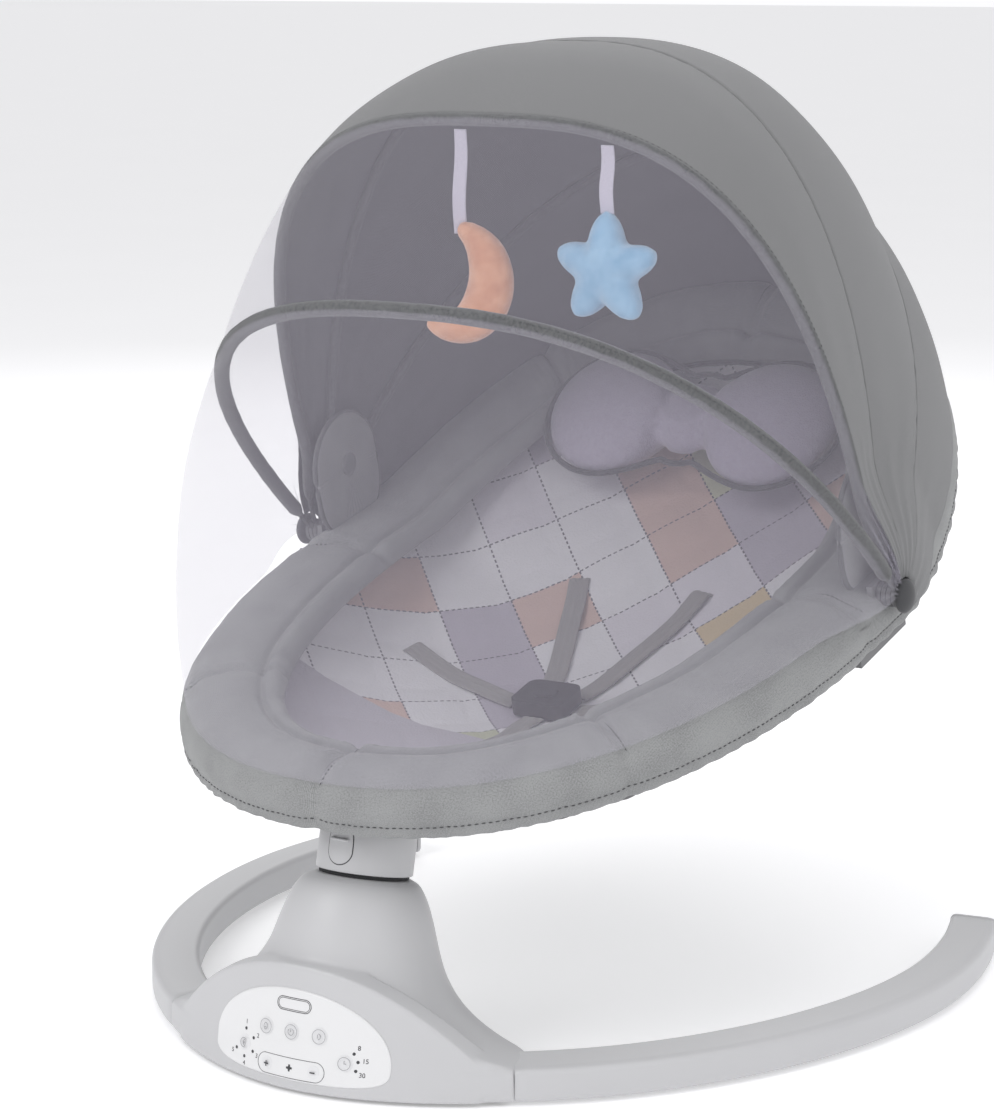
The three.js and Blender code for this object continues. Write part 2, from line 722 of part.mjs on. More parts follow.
function makeInlet() {
  const back = backY(INLET_X, INLET_Z);
  const body = solidOf(alongY(INLET_RADIUS, back - INLET_LENGTH, back + GAP, INLET_X, INLET_Z));
  const bore = alongY(INLET_BORE, back - INLET_BORE_DEPTH, back + CUT / 4, INLET_X, INLET_Z);
  return geometryOf(body.subtract(solidOf(bore)));
}

add(product, 'power_inlet', makeInlet(), darkPlastic);

const COVER_TOP = BASE_BOTTOM + LEG_WALL + GAP;
const speaker = upright(SPEAKER_RADIUS, COVER_TOP, COVER_TOP + SPEAKER_HEIGHT, 24);
add(product, 'speaker', speaker.translate(-ARM_LENGTH, columnAxisY(COVER_TOP) - 3, 0), darkPlastic);

// ---------------------------------------------------------------- legs and feet

const footPad = [
  [FOOT_PAD_MARGIN, 0], [FOOT_PAD_MARGIN, FOOT_PAD_HEIGHT],
  [LEG_WIDTH - FOOT_PAD_MARGIN, FOOT_PAD_HEIGHT], [LEG_WIDTH - FOOT_PAD_MARGIN, 0],
];

for (const [name, side] of SIDES) {
  const start = side * (SEAM_TURN + LEG_SEAM_GAP);
  const end = side * END_TURN;
  const outer = solidOf(alongBase(start, end, 16, legSection(0)));
  const hollow = solidOf(alongBase(start - side * 0.01, end + side * 0.01, 16, legSection(LEG_WALL)));
  add(product, `${name}_leg`, geometryOf(outer.subtract(hollow)), shellPlastic);

  const capRings = [GAP, GAP + LEG_CAP_THICKNESS].map((shift) => sectionAt(end, legSection(0), side * shift));
  add(product, `${name}_leg_cap`, loft(capRings), shellPlastic);

  const footFrom = end - side * FOOT_PAD_TURN;
  add(product, `${name}_foot`, alongBase(footFrom, end - side * FOOT_PAD_END, 4, footPad), rubber);
}

add(product, 'front_foot', alongBase(-FRONT_FOOT_TURN, FRONT_FOOT_TURN, 10, footPad), rubber);

// ---------------------------------------------------------------- column and drive

function ringOnShaft(bottom) {
  return collarRing(BEARING_RADIUS, SHAFT_RADIUS + SLIDE_GAP, bottom, bottom + BEARING_HEIGHT, 20);
}

add(column, 'upper_bearing', ringOnShaft(-BEARING_HEIGHT - GAP), bronze);
add(column, 'lower_bearing', ringOnShaft(-BEARING_TUBE_LENGTH), bronze);

const sealOuter = COLUMN_TOP_RADIUS - SEAL_INSET;
add(column, 'swing_seal', collarRing(sealOuter, BEARING_RADIUS + 1, GAP, GAP + SEAL_HEIGHT), rubber);

function makeShaft() {
  const body = solidOf(upright(SHAFT_RADIUS, SHAFT_SHOULDER, SHAFT_TOP, 20));
  const thread = solidOf(upright(THREAD_RADIUS, SHAFT_BOTTOM, SHAFT_SHOULDER + 1, 14));
  const flange = solidOf(upright(BEARING_RADIUS - 1, GAP, GAP + SEAL_HEIGHT, 20));
  return geometryOf(body.add(thread).add(flange));
}

add(column, 'swing_shaft', makeShaft(), steel);

const ARM_TOP = SHAFT_SHOULDER - GAP;
const ARM_BOTTOM = ARM_TOP - ARM_THICKNESS;

function makeMagnet() {
  const half = ARM_WIDTH / 2;
  const arm = solidOf(block(0, ARM_LENGTH, -half, half, ARM_BOTTOM, ARM_TOP));
  const boss = solidOf(upright(NUT_RADIUS, ARM_BOTTOM, ARM_TOP, 24));
  const tip = block(ARM_LENGTH - MAGNET_LENGTH, ARM_LENGTH, -half, half, ARM_TOP - MAGNET_HEIGHT, ARM_TOP);
  const hole = solidOf(upright(THREAD_RADIUS + SLIDE_GAP, ARM_BOTTOM - 1, ARM_TOP + 1, 20));
  return geometryOf(arm.add(boss).add(solidOf(tip)).subtract(hole));
}

add(column, 'drive_magnet', makeMagnet(), steel);

function makeNut() {
  const top = ARM_BOTTOM - GAP;
  const hex = solidOf(upright(NUT_RADIUS, top - NUT_HEIGHT, top, 6));
  const hole = solidOf(upright(THREAD_RADIUS + SLIDE_GAP, top - NUT_HEIGHT - 1, top + 1, 20));
  return geometryOf(hex.subtract(hole));
}

add(column, 'shaft_nut', makeNut(), steel);

const coil = collarRing(COIL_RADIUS, COIL_RADIUS / 2, COVER_TOP, COVER_TOP + COIL_HEIGHT, 24);
add(product, 'drive_coil', coil.translate(ARM_LENGTH - MAGNET_LENGTH / 2, columnAxisY(30), 0), copper);

// ---------------------------------------------------------------- collar and seat mount

// The release button's outline: a flat top and a round bottom, on the collar's front.
function releaseOutline(margin) {
  const half = RELEASE_WIDTH / 2 + margin;
  const middle = (COLLAR_BOTTOM + COLLAR_TOP) / 2;
  const top = middle + RELEASE_HEIGHT / 2 + margin;
  const turn = middle - RELEASE_HEIGHT / 2 + RELEASE_WIDTH / 2;
  const shape = new THREE.Shape();
  shape.moveTo(half, turn);
  shape.lineTo(half, top);
  shape.lineTo(-half, top);
  shape.lineTo(-half, turn);
  shape.absarc(0, turn, half, Math.PI, 2 * Math.PI, false);
  return shape;
}

// The outline pushed through the collar's front wall, between two distances from the axis.
function releasePrism(margin, near, far) {
  const shape = releaseOutline(margin);
  const depth = far - near;
  const geometry = new THREE.ExtrudeGeometry(shape, { depth, bevelEnabled: false, curveSegments: 8 });
  geometry.rotateX(Math.PI / 2);
  return solidOf(geometry.translate(0, -near, 0));
}

function makeCollar() {
  const outer = solidOf(upright(COLLAR_RADIUS, COLLAR_BOTTOM, COLLAR_TOP, 32));
  const inner = COLLAR_RADIUS - COLLAR_WALL;
  const room = solidOf(upright(inner, COLLAR_BOTTOM + COLLAR_WALL, COLLAR_TOP + 1, 32));
  const bore = solidOf(upright(SHAFT_RADIUS + SLIDE_GAP, 0, COLLAR_TOP, 20));
  const window = releasePrism(SLIDE_GAP, inner / 2, COLLAR_RADIUS + CUT / 4);
  return geometryOf(outer.subtract(room).subtract(bore).subtract(window));
}

add(column, 'seat_collar', makeCollar(), shellPlastic);

const PLUG_RADIUS = COLLAR_RADIUS - COLLAR_WALL - SLIDE_GAP;

function makeReleaseButton() {
  const body = releasePrism(0, COLLAR_RADIUS - RELEASE_DEPTH, COLLAR_RADIUS + CUT / 4);
  const skin = solidOf(upright(COLLAR_RADIUS + 0.5, COLLAR_BOTTOM, COLLAR_TOP, 32));
  const ledgeZ = (COLLAR_BOTTOM + COLLAR_TOP) / 2 + 3;
  const half = RELEASE_WIDTH / 2 - 2;
  const ledge = block(-half, half, -COLLAR_RADIUS - 1.8, -COLLAR_RADIUS + 2, ledgeZ, ledgeZ + 2);
  return geometryOf(body.intersect(skin).add(solidOf(ledge)));
}

add(column, 'release_button', makeReleaseButton(), shellPlastic);

// ---------------------------------------------------------------- seat surfaces

// A superellipse ring about the seat's middle: 0 is the foot, positive turns to the right.
function ringPoint(turn, halfWidth, foot, head, drop) {
  const x = halfWidth * power(Math.sin(turn), 2 / RING_POWER);
  const length = Math.cos(turn) > 0 ? foot : head;
  const s = -length * power(Math.cos(turn), 2 / RING_POWER);
  return new THREE.Vector3(x, s, rise(s) - drop);
}

// How far the seat rises out of its plane towards the head.
function rise(s) {
  const share = Math.max(0, s - HEAD_RISE_START) / (RIM_HEAD - HEAD_RISE_START);
  return HEAD_RISE * share ** HEAD_RISE_POWER;
}

const TUBE_HALF_WIDTH = RIM_HALF_WIDTH - TUBE_INSET;
const TUBE_FOOT = RIM_FOOT - TUBE_FOOT_INSET;
const TUBE_HEAD = RIM_HEAD - TUBE_HEAD_INSET;
const TUBE_FOOT_TURN = Math.acos((TUBE_END / TUBE_FOOT) ** (RING_POWER / 2));
const TUBE_HEAD_TURN = Math.acos((TUBE_END / TUBE_HEAD) ** (RING_POWER / 2));

function tubeRow(from, to, count) {
  const at = (turn) => ringPoint(turn, TUBE_HALF_WIDTH, TUBE_FOOT, TUBE_HEAD, TUBE_DROP);
  return steps(from, to, count).map(at);
}

const footRow = tubeRow(-TUBE_FOOT_TURN, TUBE_FOOT_TURN, 24);
const headRow = tubeRow(Math.PI - TUBE_HEAD_TURN, Math.PI + TUBE_HEAD_TURN, 24);
add(seat, 'foot_tube', loft(rod(footRow, TUBE_RADIUS, 8)), steel);
add(seat, 'head_tube', loft(rod(headRow, TUBE_RADIUS, 8)), steel);

function makeRim() {
  // Shares of the rim's width, from its inner to its outer edge, and of its thickness, downwards.
  const section = [
    [0, 0.6], [0, 0.3], [0.08, 0.08], [0.3, 0], [0.78, 0],
    [0.95, 0.15], [1, 0.5], [0.95, 0.92], [0.5, 1], [0.08, 0.92],
  ];
  const turns = steps(0, 2 * Math.PI, 42).slice(0, 42);
  const rings = turns.map((turn) => {
    const inner = ringPoint(turn, RIM_INNER_HALF_WIDTH, RIM_INNER_FOOT, RIM_INNER_HEAD, 0);
    const outer = ringPoint(turn, RIM_HALF_WIDTH, RIM_FOOT, RIM_HEAD, 0);
    return section.map(([share, drop]) => {
      const point = inner.clone().lerp(outer, share);
      point.z = rise(point.y) - drop * RIM_THICKNESS;
      return point;
    });
  });
  let rim = solidOf(loft(rings, true));
  for (const [, side] of SIDES) {
    const near = side * (LUG_INNER_X - NOTCH_CLEARANCE);
    const far = side * (LUG_INNER_X + CUT);
    const half = NOTCH_HALF_LENGTH;
    const notch = block(Math.min(near, far), Math.max(near, far), -half, half, -CUT, CUT);
    rim = rim.subtract(solidOf(notch));
  }
  return geometryOf(rim);
}

add(seat, 'rim_pad', makeRim(), greyLinen);

const SLING_HALF_WIDTH = TUBE_HALF_WIDTH - TUBE_RADIUS - SLING_CLEARANCE;
const SLING_FOOT = TUBE_FOOT - TUBE_RADIUS - MOUNT_WALL - SLING_CLEARANCE;
const SLING_HEAD = TUBE_HEAD - TUBE_RADIUS - SLING_CLEARANCE;

// The sling's upper surface: a dish that is deeper at the foot than at the head.
function slingTop(x, s) {
  const length = s < 0 ? SLING_FOOT : SLING_HEAD;
  const across = Math.abs(x / SLING_HALF_WIDTH) ** RING_POWER;
  const share = Math.min(1, (across + Math.abs(s / length) ** RING_POWER) ** (1 / RING_POWER));
  const depth = THREE.MathUtils.lerp(SLING_FOOT_DEPTH, SLING_HEAD_DEPTH, smooth(-60, 120, s));
  return rise(s) - SLING_DROP - depth * (1 - share ** SLING_POWER);
}

const SEAT_ROWS = 16;
const SEAT_COLUMNS = 12;

// A dish laid on the sling: a square grid wrapped into the seat's outline, less its outer cells.
function dish(trim, raised, thickness, edgeTaper) {
  const lines = (count) => steps(-1, 1, count).slice(trim, count + 1 - trim);
  const grid = (lift) => lines(SEAT_ROWS).map((v) => lines(SEAT_COLUMNS).map((u) => {
    const a = u * Math.sqrt(1 - (v * v) / 2);
    const b = v * Math.sqrt(1 - (u * u) / 2);
    const radius = Math.hypot(a, b);
    const turn = radius > 0 ? Math.atan2(a, -b) : 0;
    const point = ringPoint(turn, SLING_HALF_WIDTH, SLING_FOOT, SLING_HEAD, 0).multiplyScalar(radius);
    point.z = slingTop(point.x, point.y) + raised + lift * (1 - edgeTaper * smooth(0.7, 1, radius));
    return point;
  }));
  return sheet(grid(thickness), grid(0));
}

add(seat, 'seat_sling', dish(0, -SLING_THICKNESS, SLING_THICKNESS, 0), greyLinen);
add(seat, 'seat_liner', dish(1, GAP, LINER_THICKNESS, LINER_TAPER), lilacCloth);

const LINER_TOP = GAP + LINER_THICKNESS;

// The saddle that joins the collar to the frame's foot tube, and plugs into the collar.
function makeMount() {
  const tube = new THREE.Vector3(0, -TUBE_FOOT, -TUBE_DROP);
  column.worldToLocal(seat.localToWorld(tube));
  const low = COLLAR_TOP + GAP;
  const high = tube.z + TUBE_RADIUS + MOUNT_WALL;
  const front = tube.y - TUBE_RADIUS - MOUNT_WALL;
  const outline = [
    [front, low], [front, tube.z + 4], [front + 5, high], [tube.y + 6, high],
    [tube.y + 18, low + 7.5], [21, low + 6], [21, low],
  ];
  const shape = new THREE.Shape(outline.map(([y, z]) => new THREE.Vector2(y, z)));
  const saddle = new THREE.ExtrudeGeometry(shape, { depth: 2 * MOUNT_HALF_WIDTH, bevelEnabled: false });
  saddle.rotateX(Math.PI / 2);
  saddle.rotateZ(Math.PI / 2);
  saddle.translate(-MOUNT_HALF_WIDTH, 0, 0);
  const plugBottom = COLLAR_BOTTOM + COLLAR_WALL + GAP;
  const plug = solidOf(upright(PLUG_RADIUS, plugBottom, low + 3, 28));
  const bore = solidOf(upright(SHAFT_RADIUS + SLIDE_GAP, 0, SHAFT_TOP + GAP, 20));
  const pocket = releasePrism(SLIDE_GAP, COLLAR_RADIUS - RELEASE_DEPTH - RELEASE_TRAVEL - 1, COLLAR_RADIUS + 5);
  const tubeRings = rod(footRow.slice(8, 17), TUBE_RADIUS + SLIDE_GAP, 12);
  const toColumn = (p) => column.worldToLocal(seat.localToWorld(p));
  const channel = loft(tubeRings.map((ring) => ring.map(toColumn)));
  return geometryOf(solidOf(saddle).add(plug).subtract(bore).subtract(pocket).subtract(solidOf(channel)));
}

add(column, 'seat_mount', makeMount(), darkPlastic);

// ---------------------------------------------------------------- side joints and ear pads

const EYE_START = LUG_INNER_X + LUG_THICKNESS + EYE_GAP;
const EYE_PITCH = EYE_THICKNESS + EYE_GAP;
const HEAD_START = EYE_START + 4 * EYE_PITCH;

function mirrored(side, x0, x1, y0, y1, z0, z1) {
  return block(Math.min(side * x0, side * x1), Math.max(side * x0, side * x1), y0, y1, z0, z1);
}

for (const [name, side] of SIDES) {
  const middle = TUBE_HALF_WIDTH;
  const reach = TUBE_RADIUS + JOINT_WALL;
  const top = -RIM_THICKNESS - 1.5;
  const bottom = -TUBE_DROP - reach;
  const half = JOINT_HALF_LENGTH;
  const body = solidOf(mirrored(side, middle - reach, middle + reach, -half, half, bottom, top));
  const lugEnd = LUG_INNER_X + LUG_THICKNESS;
  const lug = mirrored(side, LUG_INNER_X, lugEnd, -LUG_HALF_LENGTH, LUG_HALF_LENGTH, top - 6, LUG_TOP);
  const axle = crosswise(AXLE_RADIUS, side * (lugEnd - 1), side * (HEAD_START + 1));
  const head = crosswise(AXLE_HEAD_RADIUS, side * HEAD_START, side * (HEAD_START + AXLE_HEAD_THICKNESS));
  let joint = body.add(solidOf(lug)).add(solidOf(axle)).add(solidOf(head));
  for (const row of [footRow, headRow]) {
    joint = joint.subtract(solidOf(loft(rod(row, TUBE_RADIUS + SLIDE_GAP, 12))));
  }
  add(seat, `${name}_side_joint`, geometryOf(joint), darkPlastic);

  // The ear pad: a soft flap with a round top that stands over the inside of the bows' hub.
  const ear = new THREE.Shape();
  const shoulder = EAR_HEIGHT - EAR_HALF_WIDTH;
  ear.moveTo(EAR_BACK_S - EAR_HALF_WIDTH * 0.8, EAR_BOTTOM);
  ear.lineTo(EAR_BACK_S + EAR_HALF_WIDTH * 0.8, EAR_BOTTOM);
  ear.lineTo(EAR_BACK_S + EAR_HALF_WIDTH, shoulder);
  ear.absarc(EAR_BACK_S, shoulder, EAR_HALF_WIDTH, 0, Math.PI, false);
  const flap = new THREE.ExtrudeGeometry(ear, { depth: EAR_THICKNESS, bevelEnabled: false, curveSegments: 12 });
  flap.rotateX(Math.PI / 2);
  flap.rotateZ(Math.PI / 2);
  const outer = MIDDLE_BOW.halfWidth - BOW_RADIUS - EAR_CLEARANCE;
  const start = side > 0 ? outer - EAR_THICKNESS : -outer;
  add(seat, `${name}_ear_pad`, flap.translate(start, 0, 0), canopyCloth);
}

// ---------------------------------------------------------------- pillow and harness

function lobe([a, b, c], x) {
  const ball = new THREE.SphereGeometry(1, 14, 8);
  ball.scale(a, b, c);
  return solidOf(ball.translate(x, 0, 0));
}

const pillowLobes = lobe(PILLOW_LOBE, -PILLOW_LOBE_X).add(lobe(PILLOW_LOBE, PILLOW_LOBE_X));
const pillowSolid = pillowLobes.add(lobe(PILLOW_BRIDGE, 0));
const pillow = add(seat, 'head_pillow', geometryOf(pillowSolid), lilacCloth);
pillow.position.set(0, PILLOW_S, PILLOW_N);
pillow.rotation.x = PILLOW_TILT;

// A flat strap that lies on the liner along a straight line between two places.
function strap(from, to, count) {
  const start = new THREE.Vector2(...from);
  const end = new THREE.Vector2(...to);
  const along = end.clone().sub(start).normalize();
  const side = new THREE.Vector2(-along.y, along.x).multiplyScalar(STRAP_WIDTH / 2);
  const layer = (lift) => steps(0, 1, count).map((share) => {
    const place = start.clone().lerp(end, share);
    const height = Math.max(
      slingTop(place.x, place.y),
      slingTop(place.x + side.x, place.y + side.y),
      slingTop(place.x - side.x, place.y - side.y),
    ) + LINER_TOP + 2 + lift;
    return [-1, 1].map((edge) => new THREE.Vector3(place.x + edge * side.x, place.y + edge * side.y, height));
  });
  return sheet(layer(STRAP_THICKNESS), layer(0));
}

const BUCKLE_HALF = BUCKLE_WIDTH / 2;
for (const [name, side] of SIDES) {
  const shoulder = strap([side * 52, 70], [side * 12, BUCKLE_S + BUCKLE_LENGTH / 2 + STRAP_GAP], 10);
  add(seat, `${name}_shoulder_strap`, shoulder, webbing);
  const waist = strap([side * 128, -52], [side * (BUCKLE_HALF + STRAP_GAP), BUCKLE_S], 8);
  add(seat, `${name}_waist_strap`, waist, webbing);
}
const crotchEnd = BUCKLE_S - BUCKLE_LENGTH / 2 - 1;
const crotch = strap([0, crotchEnd - CROTCH_STRAP], [0, crotchEnd], 6);
add(seat, 'crotch_strap', crotch, webbing);

const BUCKLE_BASE = slingTop(0, BUCKLE_S) + LINER_TOP + 3;

function makeBuckle() {
  const corner = 7;
  const shape = new THREE.Shape();
  const x = BUCKLE_HALF;
  const y = BUCKLE_LENGTH / 2;
  shape.absarc(x - corner, y - corner, corner, 0, Math.PI / 2, false);
  shape.absarc(-x + corner, y - corner, corner, Math.PI / 2, Math.PI, false);
  shape.absarc(-x + corner, -y + corner, corner, Math.PI, 1.5 * Math.PI, false);
  shape.absarc(x - corner, -y + corner, corner, 1.5 * Math.PI, 2 * Math.PI, false);
  const depth = BUCKLE_HEIGHT;
  const body = new THREE.ExtrudeGeometry(shape, { depth, bevelEnabled: false, curveSegments: 4 });
  const wellBottom = BUCKLE_BUTTON_BOTTOM - BUCKLE_BUTTON_ROOM;
  const well = upright(BUCKLE_BUTTON_RADIUS + SLIDE_GAP, wellBottom, BUCKLE_HEIGHT + 1, 24);
  return geometryOf(solidOf(body).subtract(solidOf(well)));
}

add(seat, 'harness_buckle', makeBuckle(), darkPlastic).position.set(0, BUCKLE_S, BUCKLE_BASE);
const buckleButton = upright(BUCKLE_BUTTON_RADIUS, BUCKLE_BUTTON_BOTTOM, BUCKLE_HEIGHT + 1, 24);
add(seat, 'buckle_button', buckleButton, darkPlastic).position.set(0, BUCKLE_S, BUCKLE_BASE);

// ---------------------------------------------------------------- bows

// A point of an arch: angle from the foot side, how far round the arch, and outward offset.
function archPoint(bow, round, offset, hubX, hubEnd) {
  const reach = (bow.reach + offset) * Math.abs(Math.sin(round)) ** (2 / bow.power);
  const free = (bow.halfWidth + offset) * power(Math.cos(round), 2 / bow.power);
  const x = THREE.MathUtils.lerp(Math.sign(Math.cos(round)) * hubX, free, smooth(hubEnd / 5, hubEnd, reach));
  return new THREE.Vector3(x, -reach * Math.cos(bow.angle), reach * Math.sin(bow.angle));
}

// The places round an arch, closer together beside the hub, from one hub to the other.
function archRounds(bow, start, count) {
  const roundAt = (reach) => Math.asin((reach / bow.reach) ** (bow.power / 2));
  const hub = [start, start + 14, start + 34, start + 62].map(roundAt);
  const last = hub[hub.length - 1];
  const middle = steps(last, Math.PI - last, count).slice(1, -1);
  return [...hub, ...middle, ...hub.map((round) => Math.PI - round).reverse()];
}

function makeBow(bow) {
  const eyeX = EYE_START + EYE_THICKNESS / 2 + bow.place * EYE_PITCH;
  const row = archRounds(bow, EYE_RADIUS - 1.5, 16).map((round) => archPoint(bow, round, 0, eyeX, 70));
  const flatness = (p) => THREE.MathUtils.lerp(HUB_FLATNESS, 1, smooth(20, 70, Math.hypot(p.y, p.z)));
  let shape = solidOf(loft(rod(row, BOW_RADIUS, 6, flatness)));
  for (const [, side] of SIDES) {
    const half = EYE_THICKNESS / 2;
    const eye = crosswise(EYE_RADIUS, side * (eyeX - half), side * (eyeX + half), 14);
    const hole = crosswise(AXLE_RADIUS + SLIDE_GAP, side * (eyeX - CUT / 4), side * (eyeX + CUT / 4), 10);
    shape = shape.add(solidOf(eye)).subtract(solidOf(hole));
  }
  return geometryOf(shape);
}

add(hinge, 'rear_bow', makeBow(REAR_BOW), steel);
add(hinge, 'middle_bow', makeBow(MIDDLE_BOW), steel);
add(hinge, 'front_bow', makeBow(FRONT_BOW), steel);
add(hinge, 'net_bow', makeBow(NET_BOW), steel);

// ---------------------------------------------------------------- canopy and net

// An edge of cloth tells where it runs, as distance across, reach and angle about the hinge line.
function bowEdge(bow, start) {
  return archRounds(bow, start, 16).map((round) => (offset) => {
    const reach = (bow.reach + offset) * Math.sin(round) ** (2 / bow.power);
    const free = (bow.halfWidth + offset) * power(Math.cos(round), 2 / bow.power);
    return { x: free, reach, angle: bow.angle, side: Math.sign(Math.cos(round)), round };
  });
}

// The cloth's edge along the rim: end is 1 round the foot and -1 round the head.
function rimEdge(end, lift, grow) {
  const length = end > 0 ? RIM_FOOT : RIM_HEAD;
  return archRounds({ reach: length + grow, power: RING_POWER }, FABRIC_START, 16).map((round) => (offset) => {
    const more = offset + grow;
    const turn = Math.PI / 2 - end * round;
    const point = ringPoint(turn, RIM_HALF_WIDTH + more, RIM_FOOT + more, RIM_HEAD + more, -lift);
    const up = Math.atan2(point.z, Math.abs(point.y));
    const angle = end > 0 ? up - SEAT_LEAN : Math.PI - SEAT_LEAN - up;
    return { x: point.x, reach: Math.hypot(point.y, point.z), angle, side: Math.sign(point.x), round };
  });
}

// Cloth between two edges, outside the bows. It flares out beside the hub to clear them.
function clothBetween(first, second, bulge, thickness, firstGap, secondGap, count) {
  const layer = (offset) => steps(0, 1, count).map((share) => first.map((edge, i) => {
    const a = edge(offset);
    const b = second[i](offset);
    const swell = bulge * Math.sin(Math.PI * share) * Math.sin(a.round);
    const reach = THREE.MathUtils.lerp(a.reach, b.reach, share) + swell;
    const angle = THREE.MathUtils.lerp(a.angle + firstGap, b.angle - secondGap, share);
    const free = THREE.MathUtils.lerp(a.x, b.x, share);
    const x = THREE.MathUtils.lerp(a.side * (FABRIC_HUB_X + offset), free, smooth(18, 90, reach));
    return new THREE.Vector3(x, -reach * Math.cos(angle), reach * Math.sin(angle));
  }));
  return sheet(layer(FABRIC_OFFSET + thickness), layer(FABRIC_OFFSET));
}

const rearEdge = bowEdge(REAR_BOW, FABRIC_START);
const middleEdge = bowEdge(MIDDLE_BOW, FABRIC_START);
const frontEdge = bowEdge(FRONT_BOW, FABRIC_START);
const netEdge = bowEdge(NET_BOW, FABRIC_START);
const headEdge = rimEdge(-1, -RIM_THICKNESS / 2, 0);
const footEdge = rimEdge(1, NET_LIFT, -NET_SET_IN);

const CANOPY = [
  ['canopy_front_panel', frontEdge, middleEdge],
  ['canopy_middle_panel', middleEdge, rearEdge],
  ['canopy_rear_panel', rearEdge, headEdge],
];
for (const [name, first, second] of CANOPY) {
  const gap = second === headEdge ? 0 : SEAM_ANGLE;
  const panel = clothBetween(first, second, CANOPY_BULGE, FABRIC_THICKNESS, SEAM_ANGLE, gap, 3);
  add(hinge, name, panel, canopyCloth);
}
add(hinge, 'upper_net', clothBetween(netEdge, frontEdge, 0, NET_THICKNESS, SEAM_ANGLE, SEAM_ANGLE, 2), lilacNet);
add(hinge, 'lower_net', clothBetween(footEdge, netEdge, 0, NET_THICKNESS, 0, SEAM_ANGLE, 4), lilacNet);

// ---------------------------------------------------------------- toys

// Where a ribbon starts, just under the front bow.
function ribbonTop(x) {
  const round = Math.acos((Math.abs(x) / FRONT_BOW.halfWidth) ** (FRONT_BOW.power / 2));
  const point = archPoint(FRONT_BOW, round, 0, 0, 1);
  return new THREE.Vector3(x, point.y, point.z - BOW_RADIUS - RIBBON_CLEARANCE);
}

function ribbon(length) {
  return solidOf(block(-RIBBON_WIDTH / 2, RIBBON_WIDTH / 2, -RIBBON_THICKNESS / 2, RIBBON_THICKNESS / 2, -length, 0));
}

// A flat shape swollen into a plush one: its edges are thinner than its middle.
function plush(shape, thickness, curveSegments) {
  const bevel = thickness * 0.3;
  const geometry = new THREE.ExtrudeGeometry(shape, {
    depth: thickness - 2 * bevel, bevelThickness: bevel, bevelSize: bevel, bevelOffset: -bevel,
    bevelSegments: 2, curveSegments,
  });
  geometry.rotateX(Math.PI / 2);
  return geometry.translate(0, thickness / 2 - bevel, 0);
}

// The crescent: a plump sausage that follows an arc and thins towards both tips.
function makeMoon() {
  const rings = steps(0, 1, 12).map((share) => {
    const angle = THREE.MathUtils.lerp(MOON_TOP_ANGLE, MOON_TIP_ANGLE, share);
    const width = MOON_WIDTH * (0.12 + Math.sin(Math.PI * (0.1 + 0.82 * share)) ** 1.2);
    const middle = MOON_RADIUS - width * 0.2;
    return circle(10).map(([c, s]) => {
      const reach = middle + width * c;
      const x = -MOON_RADIUS * Math.cos(MOON_TOP_ANGLE) + reach * Math.cos(angle);
      const depth = Math.min(width, MOON_THICKNESS / 2) * s;
      return new THREE.Vector3(x, depth, reach * Math.sin(angle) - MOON_RADIUS * Math.sin(MOON_TOP_ANGLE));
    });
  });
  const body = solidOf(loft(rings).translate(0, 0, -MOON_RIBBON));
  return geometryOf(ribbon(MOON_RIBBON + 2).add(body));
}

function makeStar() {
  const points = steps(0, 9, 9).map((i) => {
    const radius = i % 2 ? STAR_RADIUS * 0.58 : STAR_RADIUS;
    const angle = Math.PI / 2 + (i * Math.PI) / 5;
    return new THREE.Vector2(radius * Math.cos(angle), radius * Math.sin(angle));
  });
  const body = solidOf(plush(new THREE.Shape(points), STAR_THICKNESS, 2).translate(0, 0, -STAR_RIBBON - STAR_RADIUS));
  return geometryOf(ribbon(STAR_RIBBON + 10).add(body));
}

const toHinge = (point) => [point.x, point.y, point.z];
add(hinge, 'moon_toy', makeMoon(), moonPlush).position.set(...toHinge(ribbonTop(MOON_X)));
add(hinge, 'star_toy', makeStar(), starPlush).position.set(...toHinge(ribbonTop(STAR_X)));

export default product;
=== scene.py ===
import json
import math

import bmesh
import bpy
from mathutils import Matrix, Vector, noise


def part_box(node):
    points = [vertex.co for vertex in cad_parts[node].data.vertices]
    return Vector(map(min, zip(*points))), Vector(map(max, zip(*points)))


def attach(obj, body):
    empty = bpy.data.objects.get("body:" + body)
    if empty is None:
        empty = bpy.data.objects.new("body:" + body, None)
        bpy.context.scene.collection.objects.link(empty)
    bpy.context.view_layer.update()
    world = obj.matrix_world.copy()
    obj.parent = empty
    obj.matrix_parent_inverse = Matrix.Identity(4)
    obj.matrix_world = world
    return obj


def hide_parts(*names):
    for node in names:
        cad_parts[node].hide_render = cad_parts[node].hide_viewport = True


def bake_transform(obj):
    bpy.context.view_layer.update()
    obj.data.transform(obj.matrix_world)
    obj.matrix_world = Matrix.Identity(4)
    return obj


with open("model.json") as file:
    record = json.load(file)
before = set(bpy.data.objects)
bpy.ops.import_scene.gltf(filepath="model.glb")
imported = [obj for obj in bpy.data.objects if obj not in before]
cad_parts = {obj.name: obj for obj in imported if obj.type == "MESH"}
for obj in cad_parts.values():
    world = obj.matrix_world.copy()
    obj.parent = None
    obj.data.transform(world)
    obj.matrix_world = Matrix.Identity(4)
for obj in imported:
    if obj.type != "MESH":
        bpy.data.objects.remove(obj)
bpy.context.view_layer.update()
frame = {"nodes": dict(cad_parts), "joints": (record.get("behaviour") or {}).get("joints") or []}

# ---------------------------------------------------------------- view, light and floor
# The swing stands on a plain pale floor under large soft lamps, as in a small product studio.

